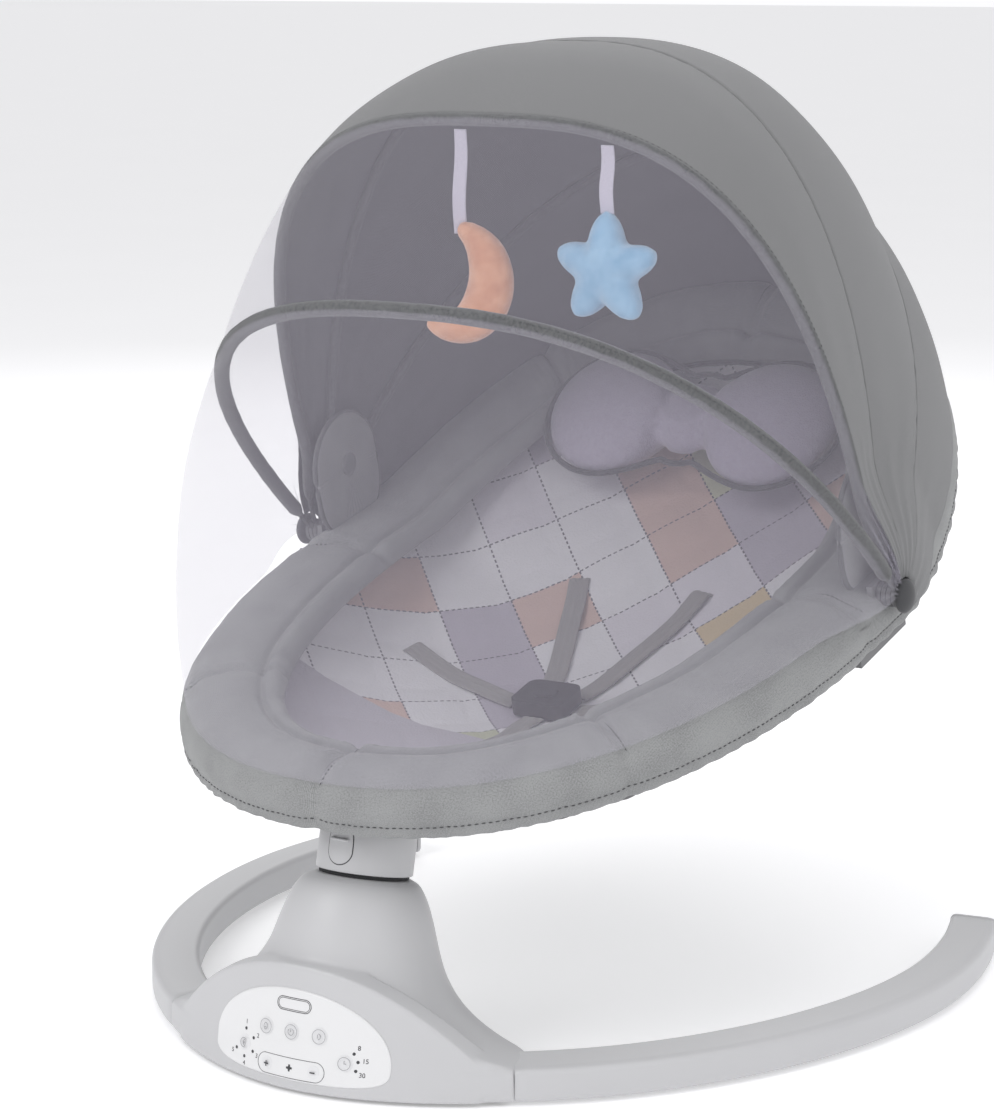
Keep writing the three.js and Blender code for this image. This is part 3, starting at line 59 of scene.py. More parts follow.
scene = bpy.context.scene
scene.view_settings.view_transform = "Standard"
CAMERA_PLACE = Vector((1.0825, -1.8116, 0.6721))
CAMERA_TILT = math.radians(79.43)
CAMERA_TURN = math.radians(32.02)
CAMERA_LENS = 103.8
FLOOR_HALF = 40.0

lens = bpy.data.cameras.new("studio_camera")
lens.lens = CAMERA_LENS
lens.clip_end = 200
camera = bpy.data.objects.new("studio_camera", lens)
camera.location = CAMERA_PLACE
camera.rotation_euler = (CAMERA_TILT, 0, CAMERA_TURN)
scene.collection.objects.link(camera)
scene.camera = camera


def area_lamp(name, place, size, power, colour=(1, 1, 1)):
    """A square soft lamp that looks at the middle of the swing."""
    light = bpy.data.lights.new(name, "AREA")
    light.size = size
    light.energy = power
    light.color = colour
    lamp = bpy.data.objects.new(name, light)
    lamp.location = place
    lamp.rotation_euler = (Vector((0, 0, 0.25)) - Vector(place)).to_track_quat("-Z", "Y").to_euler()
    scene.collection.objects.link(lamp)


area_lamp("key_lamp", (-0.9, -2.6, 2.3), 1.6, 34)
area_lamp("fill_lamp", (2.4, -1.2, 1.5), 2.2, 16)
area_lamp("top_lamp", (0.2, 0.4, 2.9), 2.2, 26)
area_lamp("back_lamp", (-1.6, 2.2, 1.7), 1.8, 12)

world = bpy.data.worlds.new("studio_world")
world.use_nodes = True
sky = world.node_tree.nodes["Background"]
sky.inputs["Color"].default_value = (0.95, 0.95, 0.97, 1)
sky.inputs["Strength"].default_value = 0.62
# The camera sees a plain white studio; the object is lit by the softer sky.
paths = world.node_tree.nodes.new("ShaderNodeLightPath")
glow = world.node_tree.nodes.new("ShaderNodeMath")
glow.operation = "MULTIPLY_ADD"
glow.inputs[1].default_value = 0.42
glow.inputs[2].default_value = 0.62
world.node_tree.links.new(paths.outputs["Is Camera Ray"], glow.inputs[0])
world.node_tree.links.new(glow.outputs[0], sky.inputs["Strength"])
scene.world = world


def node(tree, kind, **values):
    """A shader node with its settings and its unlinked sockets set by name."""
    made = tree.nodes.new("ShaderNode" + kind)
    for key, value in values.items():
        if hasattr(made, key):
            setattr(made, key, value)
        else:
            made.inputs[key.replace("_", " ").title() if key.islower() else key].default_value = value
    return made


def plain_material(name, colour, roughness, **shader):
    """A principled material and its tree, with even values on the shader's own sockets."""
    material = bpy.data.materials.new(name)
    material.use_nodes = True
    base = material.node_tree.nodes["Principled BSDF"]
    base.inputs["Base Color"].default_value = (*colour, 1)
    base.inputs["Roughness"].default_value = roughness
    for key, value in shader.items():
        base.inputs[key.replace("_", " ")].default_value = value
    return material, material.node_tree, base


def link(tree, out, into):
    tree.links.new(out, into)


def maths(tree, operation, *terms):
    """A maths node whose terms are numbers or other nodes' outputs."""
    made = node(tree, "Math", operation=operation)
    for socket, term in zip(made.inputs, terms):
        if isinstance(term, (int, float)):
            socket.default_value = term
        else:
            link(tree, term, socket)
    return made


def two_tone(tree, low, high, start=0.0, end=1.0):
    """A colour ramp from one colour to another."""
    made = node(tree, "ValToRGB")
    for element, place, colour in zip(made.color_ramp.elements, (start, end), (low, high)):
        element.position = place
        element.color = colour
    return made


def bumped(tree, base, height, strength, distance):
    """Raises the surface by a texture's height."""
    bumps = node(tree, "Bump")
    bumps.inputs["Strength"].default_value = strength
    bumps.inputs["Distance"].default_value = distance
    link(tree, height, bumps.inputs["Height"])
    link(tree, bumps.outputs["Normal"], base.inputs["Normal"])


def thickened(bm, thickness):
    """Gives a single layer its thickness, with its faces turned outward."""
    bmesh.ops.solidify(bm, geom=bm.faces[:], thickness=thickness)
    bmesh.ops.recalc_face_normals(bm, faces=bm.faces)


def mesh_piece(name, bm, material, body, smooth=True):
    """Turns a finished bmesh into a piece that rides on a body."""
    mesh = bpy.data.meshes.new(name)
    bm.to_mesh(mesh)
    bm.free()
    for face in mesh.polygons:
        face.use_smooth = smooth
    piece = bpy.data.objects.new(name, mesh)
    scene.collection.objects.link(piece)
    if material is not None:
        mesh.materials.append(material)
    if body is not None:
        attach(piece, body)
    return piece


floor_material, floor_tree, floor_base = plain_material("studio_floor", (0.86, 0.86, 0.87), 0.8)
floor_speck = node(floor_tree, "TexNoise", Scale=3.0)
floor_shade = node(floor_tree, "ValToRGB")
floor_shade.color_ramp.elements[0].color = (0.84, 0.84, 0.85, 1)
floor_shade.color_ramp.elements[1].color = (0.88, 0.88, 0.89, 1)
floor_place = node(floor_tree, "TexCoord")
link(floor_tree, floor_place.outputs["Object"], floor_speck.inputs["Vector"])
link(floor_tree, floor_speck.outputs["Fac"], floor_shade.inputs["Fac"])
link(floor_tree, floor_shade.outputs["Color"], floor_base.inputs["Base Color"])
floor_base.inputs["Emission Color"].default_value = (1, 1, 1, 1)
floor_base.inputs["Emission Strength"].default_value = 0.3
floor_mesh = bmesh.new()
bmesh.ops.create_grid(floor_mesh, x_segments=2, y_segments=2, size=FLOOR_HALF)
floor = mesh_piece("studio_floor", floor_mesh, floor_material, None)
floor.location.z = -0.0004

# ---------------------------------------------------------------- base curve and legs
# Two hollow injection-moulded legs in satin light grey plastic carry the swing. Each is one
# gently bent box with a soft ridge along its outer top edge, and pushes onto the housing.


def moulded(name, colour, roughness=0.42, grain=900, bump=0.06):
    """Moulded plastic: a fine spark-eroded grain, faint cloudiness and slightly uneven gloss."""
    material, tree, base = plain_material(name, colour, roughness, Specular_IOR_Level=0.45)
    place = node(tree, "TexCoord")
    cloud = node(tree, "TexNoise", Scale=14.0, Detail=3.0)
    skin = node(tree, "TexNoise", Scale=grain, Detail=2.0)
    tone = two_tone(tree, (*[c * 0.97 for c in colour], 1), (*[min(1, c * 1.03) for c in colour], 1))
    gloss = node(tree, "MapRange")
    gloss.inputs["To Min"].default_value = roughness - 0.05
    gloss.inputs["To Max"].default_value = roughness + 0.07
    bumps = node(tree, "Bump")
    bumps.inputs["Strength"].default_value = bump
    bumps.inputs["Distance"].default_value = 0.0002
    for texture in (cloud, skin):
        link(tree, place.outputs["Object"], texture.inputs["Vector"])
    link(tree, cloud.outputs["Fac"], tone.inputs["Fac"])
    link(tree, tone.outputs["Color"], base.inputs["Base Color"])
    link(tree, cloud.outputs["Fac"], gloss.inputs["Value"])
    link(tree, gloss.outputs["Result"], base.inputs["Roughness"])
    link(tree, skin.outputs["Fac"], bumps.inputs["Height"])
    link(tree, bumps.outputs["Normal"], base.inputs["Normal"])
    return material


shell_plastic = moulded("satin_grey_shell", (0.54, 0.54, 0.55))

BASE_WIDE = 0.275
BASE_LONG = 0.345
BASE_POWER = 1.89
BASE_MIDDLE = 0.033
LEG_WIDTH = 0.0317
LEG_OUTER = 0.0222
LEG_INNER = 0.025
LEG_ROUND = 0.0042
LEG_RIDGE = 0.0012
BASE_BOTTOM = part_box("right_leg")[0].z
SEAM_X = 0.128
LEG_END = 0.135


def signed_power(value, exponent):
    return math.copysign(abs(value) ** exponent, value)


def eased(low, high, value):
    share = min(max((value - low) / (high - low), 0), 1)
    return share * share * (3 - 2 * share)


def mixed(a, b, share):
    return a + (b - a) * share


def base_outline(turn):
    x = BASE_WIDE * signed_power(math.sin(turn), 2 / BASE_POWER)
    y = BASE_MIDDLE - BASE_LONG * signed_power(math.cos(turn), 2 / BASE_POWER)
    return Vector((x, y, 0))


def base_along(turn):
    step = 1e-3
    return (base_outline(turn + step) - base_outline(turn - step)).normalized()


def rounded_outline(corners, radius, count):
    """A closed outline with each corner replaced by an arc, as a list of 2-D points."""
    points = []
    for i, corner in enumerate(corners):
        here = Vector(corner)
        back = (Vector(corners[i - 1]) - here).normalized()
        ahead = (Vector(corners[(i + 1) % len(corners)]) - here).normalized()
        half = back.angle(ahead) / 2
        middle = here + (back + ahead).normalized() * (radius / math.sin(half))
        start = here + back * (radius / math.tan(half)) - middle
        end = here + ahead * (radius / math.tan(half)) - middle
        for k in range(count + 1):
            points.append(middle + start.slerp(end, k / count).normalized() * radius)
    return points


def leg_section(inset=0.0):
    low = BASE_BOTTOM + inset
    corners = [
        (inset, low), (inset, LEG_OUTER - inset), (LEG_WIDTH * 0.2, LEG_OUTER + LEG_RIDGE - inset),
        (LEG_WIDTH - inset, LEG_INNER - inset), (LEG_WIDTH - inset, low),
    ]
    return rounded_outline(corners, LEG_ROUND - inset * 0.6, 5)


def grid_piece(across, along, place, uv_size=(1, 1), weld=1e-6, close=False):
    """A grid whose points are laid by place(u, v), welded where it meets itself."""
    bm = bmesh.new()
    bmesh.ops.create_grid(bm, x_segments=across, y_segments=along, size=0.5)
    uv = bm.loops.layers.uv.new("UVMap")
    for face in bm.faces:
        for loop in face.loops:
            loop[uv].uv = ((loop.vert.co.x + 0.5) * uv_size[0], (loop.vert.co.y + 0.5) * uv_size[1])
    for vert in bm.verts:
        vert.co = place(vert.co.x + 0.5, vert.co.y + 0.5)
    bmesh.ops.remove_doubles(bm, verts=bm.verts, dist=weld)
    if close:
        rims = [edge for edge in bm.edges if edge.is_boundary]
        bmesh.ops.holes_fill(bm, edges=rims, sides=0)
    bmesh.ops.recalc_face_normals(bm, faces=bm.faces)
    return bm


def swept(section_at, count, stations, uv_size=(1, 1)):
    """A closed bar: section_at(station) gives matching outlines that the grid joins up."""
    rows = [section_at(share) for share in stations]

    def place(u, v):
        return rows[round(v * (len(rows) - 1))][round(u * count) % count]

    return grid_piece(count, len(rows) - 1, place, uv_size, close=True)


def spread(low, high, count):
    return [low + (high - low) * i / count for i in range(count + 1)]


def base_section(turn, section, shift=0.0):
    along = base_along(turn)
    start = base_outline(turn) + along * shift
    inward = Vector((-along.y, along.x, 0))
    return [start + inward * d + Vector((0, 0, h)) for d, h in section]


SEAM_TURN = math.asin((SEAM_X / BASE_WIDE) ** (BASE_POWER / 2))
END_TURN = math.pi / 2 + math.asin((LEG_END / BASE_LONG) ** (BASE_POWER / 2))
SEAM_GAP = 0.0016
LEG_POINTS = len(leg_section())
EDGE_ROUND = 0.0009

for side_name, side in (("left", -1), ("right", 1)):
    turns = spread(side * (SEAM_TURN + SEAM_GAP), side * END_TURN, 120)
    round_in = [(turns[0], EDGE_ROUND), (turns[0] + side * 0.0022, 0.0003)]
    round_out = [(turns[-1] - side * 0.0022, 0.0003), (turns[-1], EDGE_ROUND)]
    rows = round_in + [(turn, 0.0) for turn in turns[2:-2]] + round_out
    bm = swept(lambda row: base_section(row[0], leg_section(row[1])), LEG_POINTS, rows)
    leg = mesh_piece(f"{side_name}_leg_shell", bm, shell_plastic, "base")
    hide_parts(f"{side_name}_leg")
    end = side * END_TURN
    rows = [
        (0.0005, EDGE_ROUND), (0.0009, 0.0002), (0.0013, 0.0), (0.0026, 0.0), (0.0034, 0.0006),
        (0.0039, 0.0022)
    ]
    bm = swept(lambda row: base_section(end, leg_section(row[1]), side * row[0]), LEG_POINTS, rows)
    cap = mesh_piece(f"{side_name}_leg_end_cap", bm, shell_plastic, "base")
    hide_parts(f"{side_name}_leg_cap")

# ---------------------------------------------------------------- rubber feet
# Black rubber pads, glued under the legs' ends and under the housing, keep the swing from walking.

foot_rubber = moulded("foot_rubber", (0.025, 0.025, 0.027), 0.75, 500, 0.2)
for name in ("left_foot", "right_foot", "front_foot", "swing_seal"):
    frame["nodes"][name].data.materials[0] = foot_rubber

# ---------------------------------------------------------------- control housing
# The housing is one light grey moulding: a round column that flares like a trumpet into the two
# leg stubs, with a flat front face that leans back under a curved crease.

swing_joint = next(j for j in frame["joints"] if j["name"] == "seat_swing")
COLUMN_TOP = Vector(swing_joint["pos_m"])
COLUMN_UP = Vector(swing_joint["axis"]).normalized()
COLUMN_LEAN = math.atan2(COLUMN_UP.y, COLUMN_UP.z)
COLUMN_FRONT = Vector((0, -math.cos(COLUMN_LEAN), math.sin(COLUMN_LEAN)))
COLUMN_RADIUS = 0.0297
FACE_SLOPE = 0.156
FACE_BULGE = 0.006
CREASE_HALF = 0.112
CREASE_TOP = 0.077
HOUSING_VOXEL = 0.0013
HOUSING_SMOOTH = 5


def outline_y(x):
    share = 1 - min(abs(x / BASE_WIDE), 1) ** BASE_POWER
    return BASE_MIDDLE - BASE_LONG * share ** (1 / BASE_POWER)


def face_y(x, z):
    """The housing's front face at a place across and a height."""
    bulge = FACE_BULGE * (1 - min(abs(x) / SEAM_X, 1) ** 2)
    return outline_y(x) - bulge + FACE_SLOPE * (z - BASE_BOTTOM)


def column_y(z):
    return COLUMN_TOP.y - (COLUMN_TOP.z - z) * math.tan(COLUMN_LEAN)


def trumpet_place(turn, z, inset=0.0):
    u = min(max(1 - z / COLUMN_TOP.z, 0), 1)
    foot = eased(0.3, 0.9, u)
    angle = 2 * math.pi * turn
    in_front = math.sin(angle) < 0
    roundness = 2 / (2 + 0.7 * foot) if in_front else 1
    half = min(COLUMN_RADIUS + 0.040 * math.sqrt(u) + 0.174 * u ** 4.9, SEAM_X) - inset
    x = half * signed_power(math.cos(angle), roundness)
    front = COLUMN_RADIUS + 0.050 * math.sqrt(u) * (1 - 0.5 * u)
    back = COLUMN_RADIUS + 0.020 * math.sqrt(u)
    across = ((front if in_front else back) - inset) * signed_power(math.sin(angle), roundness)
    plain = column_y(z) + across
    tilt = across * math.tan(COLUMN_LEAN) * (1 - eased(0, 0.35, u))
    bend = foot * (x / SEAM_X) ** 2 * (outline_y(SEAM_X) + LEG_WIDTH / 2 - column_y(z))
    y = mixed(plain, face_y(x, z) + 0.002, foot) if in_front else plain + bend
    return Vector((x, y, z - tilt))


def crease_z(x):
    share = min(abs(x) / CREASE_HALF, 1)
    return LEG_OUTER + (CREASE_TOP - LEG_OUTER) * (1 - share ** 2.2)


def face_block(share):
    x = CREASE_HALF * share
    top = crease_z(x)
    depth = mixed(0.044, 0.026, abs(share))
    rows = [
        (face_y(x, BASE_BOTTOM), BASE_BOTTOM), (face_y(x, top), top), (face_y(x, top) + 0.0147, top + 0.001),
        (face_y(x, BASE_BOTTOM) + depth, LEG_OUTER), (face_y(x, BASE_BOTTOM) + depth, BASE_BOTTOM),
    ]
    return [Vector((x, y, z)) for y, z in rows]


def joined(name, parts):
    """One bmesh that holds all the parts, which are used up."""
    whole = bmesh.new()
    for part in parts:
        mesh = bpy.data.meshes.new(name)
        part.to_mesh(mesh)
        part.free()
        whole.from_mesh(mesh)
        bpy.data.meshes.remove(mesh)
    return whole


def remeshed(piece, voxel, smooth, level=0):
    """Fuses what a piece holds into one skin of even faces and eases its sharp edges."""
    fuse = piece.modifiers.new("fuse", "REMESH")
    fuse.mode = "VOXEL"
    fuse.voxel_size = voxel
    fuse.use_smooth_shade = True
    if smooth:
        ease = piece.modifiers.new("ease", "SMOOTH")
        ease.factor = 0.5
        ease.iterations = smooth
    if level:
        fine = piece.modifiers.new("fine", "SUBSURF")
        fine.levels = level
        fine.render_levels = level
    return applied(piece)


def applied(piece):
    """Applies every modifier of a piece to its mesh."""
    graph = bpy.context.evaluated_depsgraph_get()
    graph.update()
    mesh = bpy.data.meshes.new_from_object(piece.evaluated_get(graph))
    old = piece.data
    piece.modifiers.clear()
    piece.data = mesh
    bpy.data.meshes.remove(old)
    return piece


heights = [COLUMN_TOP.z * (1 - u) for u in spread(0, 0.86, 44)] + [BASE_BOTTOM]
column = swept(lambda z: [trumpet_place(k / 96, z) for k in range(96)], 96, heights)
block = swept(face_block, 5, spread(-1, 1, 60))
turns = spread(-SEAM_TURN, SEAM_TURN, 60)
stubs = swept(lambda turn: base_section(turn, leg_section()), LEG_POINTS, turns)
housing = mesh_piece(
    "control_housing", joined("control_housing", [column, block, stubs]), shell_plastic, None
)
remeshed(housing, HOUSING_VOXEL, HOUSING_SMOOTH)
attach(housing, "base")
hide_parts("front_housing")

# ---------------------------------------------------------------- control panel
# A glossy white label plate is let into the housing's face. Its marks are printed in grey ink:
# a blank badge, a pill round the volume keys, and dots with plain digits.

panel_plastic = moulded("panel_white", (0.74, 0.74, 0.745), 0.28, 1500, 0.02)
ink = moulded("printed_ink", (0.05, 0.05, 0.055), 0.5, 1500, 0.02)
pale_ink = moulded("pale_ink", (0.33, 0.33, 0.34), 0.5, 1500, 0.02)
PANEL_HALF = 0.064
PANEL_MIDDLE = 0.023
PANEL_ABOVE = 0.040
PANEL_BELOW = 0.015
PANEL_PROUD = 0.0008
INK_LIFT = 0.00012
PLATE_THICK = 0.0014


def on_face(x, z, proud):
    return Vector((x, face_y(x, z) - proud, z))


def panel_edge(share, inset=0.0):
    """The panel's outline: an arch on top of a flatter bottom, as (x, low z, top z)."""
    half = PANEL_HALF - inset
    top = PANEL_MIDDLE + (PANEL_ABOVE - inset) * math.sqrt(max(0, 1 - share ** 2))
    low = PANEL_MIDDLE - (PANEL_BELOW - inset) * max(0, 1 - share ** 4) ** 0.25
    return half * share, low, top


def plate_place(u, v):
    x, low, top = panel_edge(math.sin(math.radians(mixed(-89, 89, u))))
    z = mixed(low, top, v)
    room = min(z - low, top - z, PANEL_HALF - abs(x))
    return on_face(x, z, PANEL_PROUD * (1 - max(0, 1 - room / 0.0012) ** 2 * 0.8))


bm = grid_piece(96, 48, plate_place)
thickened(bm, PLATE_THICK)
plate = mesh_piece("panel_plate", bm, panel_plastic, "base")
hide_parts("control_panel")


def ring_shape(radius, width, sides=40, place=(0, 0), squash=(1, 1)):
    """A flat printed ring in its own plane."""
    bm = bmesh.new()
    inner = bmesh.ops.create_circle(bm, segments=sides, radius=radius - width)["verts"]
    outer = bmesh.ops.create_circle(bm, segments=sides, radius=radius)["verts"]
    bmesh.ops.bridge_loops(bm, edges=list({e for v in inner + outer for e in v.link_edges}))
    bmesh.ops.scale(bm, vec=(*squash, 1), verts=bm.verts)
    bmesh.ops.translate(bm, vec=(*place, 0), verts=bm.verts)
    return bm


def disc_shape(radius, place=(0, 0), sides=20):
    bm = bmesh.new()
    bmesh.ops.create_circle(bm, segments=sides, radius=radius, cap_ends=True)
    bmesh.ops.translate(bm, vec=(*place, 0), verts=bm.verts)
    return bm


def bar_shape(width, height, place=(0, 0), turn=0.0):
    bm = bmesh.new()
    bmesh.ops.create_grid(bm, x_segments=4, y_segments=1, size=0.5)
    bmesh.ops.scale(bm, vec=(width, height, 1), verts=bm.verts)
    bmesh.ops.rotate(bm, cent=(0, 0, 0), matrix=Matrix.Rotation(turn, 3, "Z"), verts=bm.verts)
    bmesh.ops.translate(bm, vec=(*place, 0), verts=bm.verts)
    return bm


def digit_shape(text, size, place):
    """Plain digits from the built-in font, as a flat mesh."""
    curve = bpy.data.curves.new("digits", "FONT")
    curve.body = text
    curve.size = size
    curve.align_x = "CENTER"
    curve.align_y = "CENTER"
    letters = bpy.data.objects.new("digits", curve)
    scene.collection.objects.link(letters)
    bpy.context.view_layer.update()
    mesh = bpy.data.meshes.new_from_object(letters)
    bm = bmesh.new()
    bm.from_mesh(mesh)
    bmesh.ops.translate(bm, vec=(*place, 0), verts=bm.verts)
    bpy.data.objects.remove(letters)
    bpy.data.curves.remove(curve)
    bpy.data.meshes.remove(mesh)
    return bm


def pill_shape(half_length, half_height, width, place):
    """A printed outline with two straight sides and two round ends."""
    straight = 2 * (half_length - half_height)
    bend = math.pi * half_height

    def at(u, v):
        reach = half_height - width * v
        half, run = divmod(u * 2 * (straight + bend), straight + bend)
        sign = -1 if half == 1 else 1
        angle = math.pi / 2 + max(0, run - straight) / half_height
        x = straight / 2 - min(run, straight) + reach * math.cos(angle)
        return Vector((place[0] + sign * x, place[1] + sign * reach * math.sin(angle), 0))
    return grid_piece(120, 1, at)


def print_on_face(bm, lift):
    """Lays a flat print on the leaning face and gives the ink its thickness."""
    for vert in bm.verts:
        vert.co = on_face(vert.co.x, vert.co.y, lift)
    ink_faces = bmesh.ops.extrude_face_region(bm, geom=bm.faces[:])["geom"]
    tops = [v for v in ink_faces if isinstance(v, bmesh.types.BMVert)]
    bmesh.ops.translate(bm, vec=(0, -INK_LIFT, 0), verts=tops)
    bmesh.ops.recalc_face_normals(bm, faces=bm.faces)
    return bm


KEY_PITCH = 0.0195
KEY_ROW_Z = 0.0375
SIDE_KEY_X = 0.037
SIDE_KEY_Z = 0.0235
VOLUME_X = 0.017
VOLUME_Z = 0.0155
marks = [
    pill_shape(0.0245, 0.0062, 0.0003, (0, VOLUME_Z)),
    pill_shape(0.0125, 0.0042, 0.0004, (0, 0.0535)),
    pill_shape(0.0115, 0.0033, 0.0003, (0, 0.0535)),
]
for turn in (0, math.pi / 2):
    marks.append(bar_shape(0.0042, 0.0012, (0, VOLUME_Z), turn))
marks.append(bar_shape(0.0025, 0.0025, (0, VOLUME_Z), math.pi / 4))
for i, angle in enumerate(spread(math.radians(55), math.radians(-235), 5)[1:]):
    near = (
        -SIDE_KEY_X + 0.0085 * math.cos(angle + math.pi / 2),
        SIDE_KEY_Z + 0.0085 * math.sin(angle + math.pi / 2)
    )
    far = (
        -SIDE_KEY_X + 0.0126 * math.cos(angle + math.pi / 2),
        SIDE_KEY_Z + 0.0126 * math.sin(angle + math.pi / 2)
    )
    marks.append(disc_shape(0.0010, near, 14))
    marks.append(digit_shape(str(i + 1), 0.0038, far))
for text, angle in (("8", 50), ("15", 10), ("30", -30)):
    ray = (math.cos(math.radians(angle)), math.sin(math.radians(angle)))
    marks.append(disc_shape(0.0010, (SIDE_KEY_X + 0.008 * ray[0], SIDE_KEY_Z + 0.008 * ray[1]), 14))
    marks.append(digit_shape(text, 0.0040, (SIDE_KEY_X + 0.0126 * ray[0], SIDE_KEY_Z + 0.0126 * ray[1])))
printing = mesh_piece(
    "panel_printing", print_on_face(joined("marks", marks), PANEL_PROUD), ink, "base", False
)

# ---------------------------------------------------------------- buttons
# Seven white push buttons stand just proud of the plate, each on a stem over its own switch.
# Their symbols are printed, and every symbol travels with its button.

button_plastic = moulded("button_white", (0.72, 0.72, 0.73), 0.35, 1500, 0.02)
BUTTON_PROUD = 0.0011
KEY_RING = 0.0003


def arc_shape(radius, width, start, end, place):
    def at(u, v):
        angle = math.radians(mixed(start, end, u))
        reach = radius - width * v
        return Vector((place[0] + reach * math.cos(angle), place[1] + reach * math.sin(angle), 0))
    return grid_piece(24, 1, at)


def symbol(kind, x, z, radius):
    here = (x, z)
    ring = [ring_shape(radius * 0.86, KEY_RING, 40, here)]
    if kind == "power":
        stroke = bar_shape(0.0004, 0.0024, (x, z + 0.0011))
        return ring + [arc_shape(0.0022, 0.0004, -235, 55, here), stroke]
    if kind == "play":
        side = [bar_shape(0.0024, 0.0004, (x - 0.0008, z), math.pi / 2)]
        return ring + side + [arc_shape(0.0019, 0.0004, -90, 90, (x - 0.0004, z))]
    if kind == "light":
        return ring + [
            ring_shape(0.002, 0.0004, 24, here, (0.8, 1.1)), bar_shape(0.0017, 0.0004, (x, z - 0.0007))
        ]
    if kind == "speed":
        return [arc_shape(0.003, 0.0004, 60, 300, here), arc_shape(0.0021, 0.0004, 90, 270, (x + 0.0013, z)),
                disc_shape(0.0007, here, 14)]
    if kind == "timer":
        return [ring_shape(radius * 0.8, KEY_RING, 40, here), bar_shape(0.0004, 0.002, (x, z + 0.0008)),
                bar_shape(0.0015, 0.0004, (x + 0.0006, z))]
    bars = [bar_shape(0.0034, 0.0008, here)]
    return bars + ([bar_shape(0.0034, 0.0008, here, math.pi / 2)] if kind == "plus" else [])


KEYS = [
    ("light", -KEY_PITCH, KEY_ROW_Z, 0.0052), ("power", 0, KEY_ROW_Z, 0.0052),
    ("play", KEY_PITCH, KEY_ROW_Z, 0.0052),
    ("speed", -SIDE_KEY_X, SIDE_KEY_Z, 0.0050), ("timer", SIDE_KEY_X, SIDE_KEY_Z, 0.0050),
    ("plus", -VOLUME_X, VOLUME_Z, 0.0040), ("minus", VOLUME_X, VOLUME_Z, 0.0040),
]
for kind, x, z, radius in KEYS:
    bm = bmesh.new()
    bmesh.ops.create_circle(bm, segments=48, radius=radius, cap_ends=True)
    crown = bmesh.ops.inset_region(bm, faces=bm.faces[:], thickness=0.0006)
    for vert in bm.verts:
        reach = vert.co.length
        lift = PANEL_PROUD + BUTTON_PROUD * (1 if reach < radius - 0.0004 else 0.1)
        vert.co = on_face(x + vert.co.x, z + vert.co.y, lift)
    walls = bmesh.ops.extrude_face_region(bm, geom=bm.faces[:])["geom"]
    backs = [v for v in walls if isinstance(v, bmesh.types.BMVert)]
    bmesh.ops.translate(bm, vec=(0, 0.004, -0.0006), verts=backs)
    bmesh.ops.recalc_face_normals(bm, faces=bm.faces)
    key = mesh_piece(f"{kind}_key", bm, button_plastic, f"{kind}_button", False)
    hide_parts(f"{kind}_button")
    face = print_on_face(joined("mark", symbol(kind, x, z, radius)), PANEL_PROUD + BUTTON_PROUD)
    mark = mesh_piece(f"{kind}_symbol", face, pale_ink if radius > 0.0045 else ink, f"{kind}_button", False)

# ---------------------------------------------------------------- inside the housing
# Behind the shells are the cover, the circuit board, the speaker, the bronze bearings, the steel
# shaft with its magnet arm, and the drive's copper coil. They keep their designed shapes.


def metal(name, colour, roughness, streak=60):
    """Bare metal with fine turned or drawn streaks."""
    material, tree, base = plain_material(name, colour, roughness, Metallic=1.0)
    place = node(tree, "TexCoord")
    stretch = node(tree, "Mapping")
    stretch.inputs["Scale"].default_value = (streak, streak, streak * 14)
    lines = node(tree, "TexNoise", Scale=12.0, Detail=3.0)
    gloss = node(tree, "MapRange")
    gloss.inputs["To Min"].default_value = roughness - 0.08
    gloss.inputs["To Max"].default_value = roughness + 0.15
    link(tree, place.outputs["Object"], stretch.inputs["Vector"])
    link(tree, stretch.outputs["Vector"], lines.inputs["Vector"])
    link(tree, lines.outputs["Fac"], gloss.inputs["Value"])
    link(tree, gloss.outputs["Result"], base.inputs["Roughness"])
    bumped(tree, base, lines.outputs["Fac"], 0.1, 0.0001)
    return material


steel = metal("bright_steel", (0.55, 0.56, 0.58), 0.3)
black_plastic = moulded("black_plastic", (0.035, 0.035, 0.038), 0.5, 900, 0.12)
for name in ("bottom_cover", "power_inlet", "speaker", "seat_mount"):
    frame["nodes"][name].data.materials[0] = black_plastic
for name in ("swing_shaft", "drive_magnet", "shaft_nut"):
    frame["nodes"][name].data.materials[0] = steel
for name in ("upper_bearing", "lower_bearing"):
    frame["nodes"][name].data.materials[0] = metal("sintered_bronze", (0.5, 0.37, 0.2), 0.45, 90)
frame["nodes"]["drive_coil"].data.materials[0] = metal("wound_copper", (0.72, 0.33, 0.16), 0.3, 25)
frame["nodes"]["circuit_board"].data.materials[0] = moulded("board_green", (0.02, 0.14, 0.05), 0.4, 400, 0.3)

# ---------------------------------------------------------------- seat collar and release button
# A grey plastic collar turns with the seat on top of the column. A round-footed button in its
# front wall, with a ledge for the fingertip, lets the seat be pulled off.

COLLAR_RADIUS = 0.0302
COLLAR_LOW = 0.0026
COLLAR_HIGH = 0.034
RELEASE_HALF = 0.0085
RELEASE_LOW = 0.0073
RELEASE_HIGH = 0.0293


def on_column(x, y, up):
    """A point in the column's own frame: across, towards the back, and up its axis."""
    return COLUMN_TOP + Vector((x, 0, 0)) - COLUMN_FRONT * y + COLUMN_UP * up


def collar_ring(row):
    reach, up = row
    turns = [2 * math.pi * k / 96 for k in range(96)]
    return [on_column(reach * math.cos(turn), reach * math.sin(turn), up) for turn in turns]


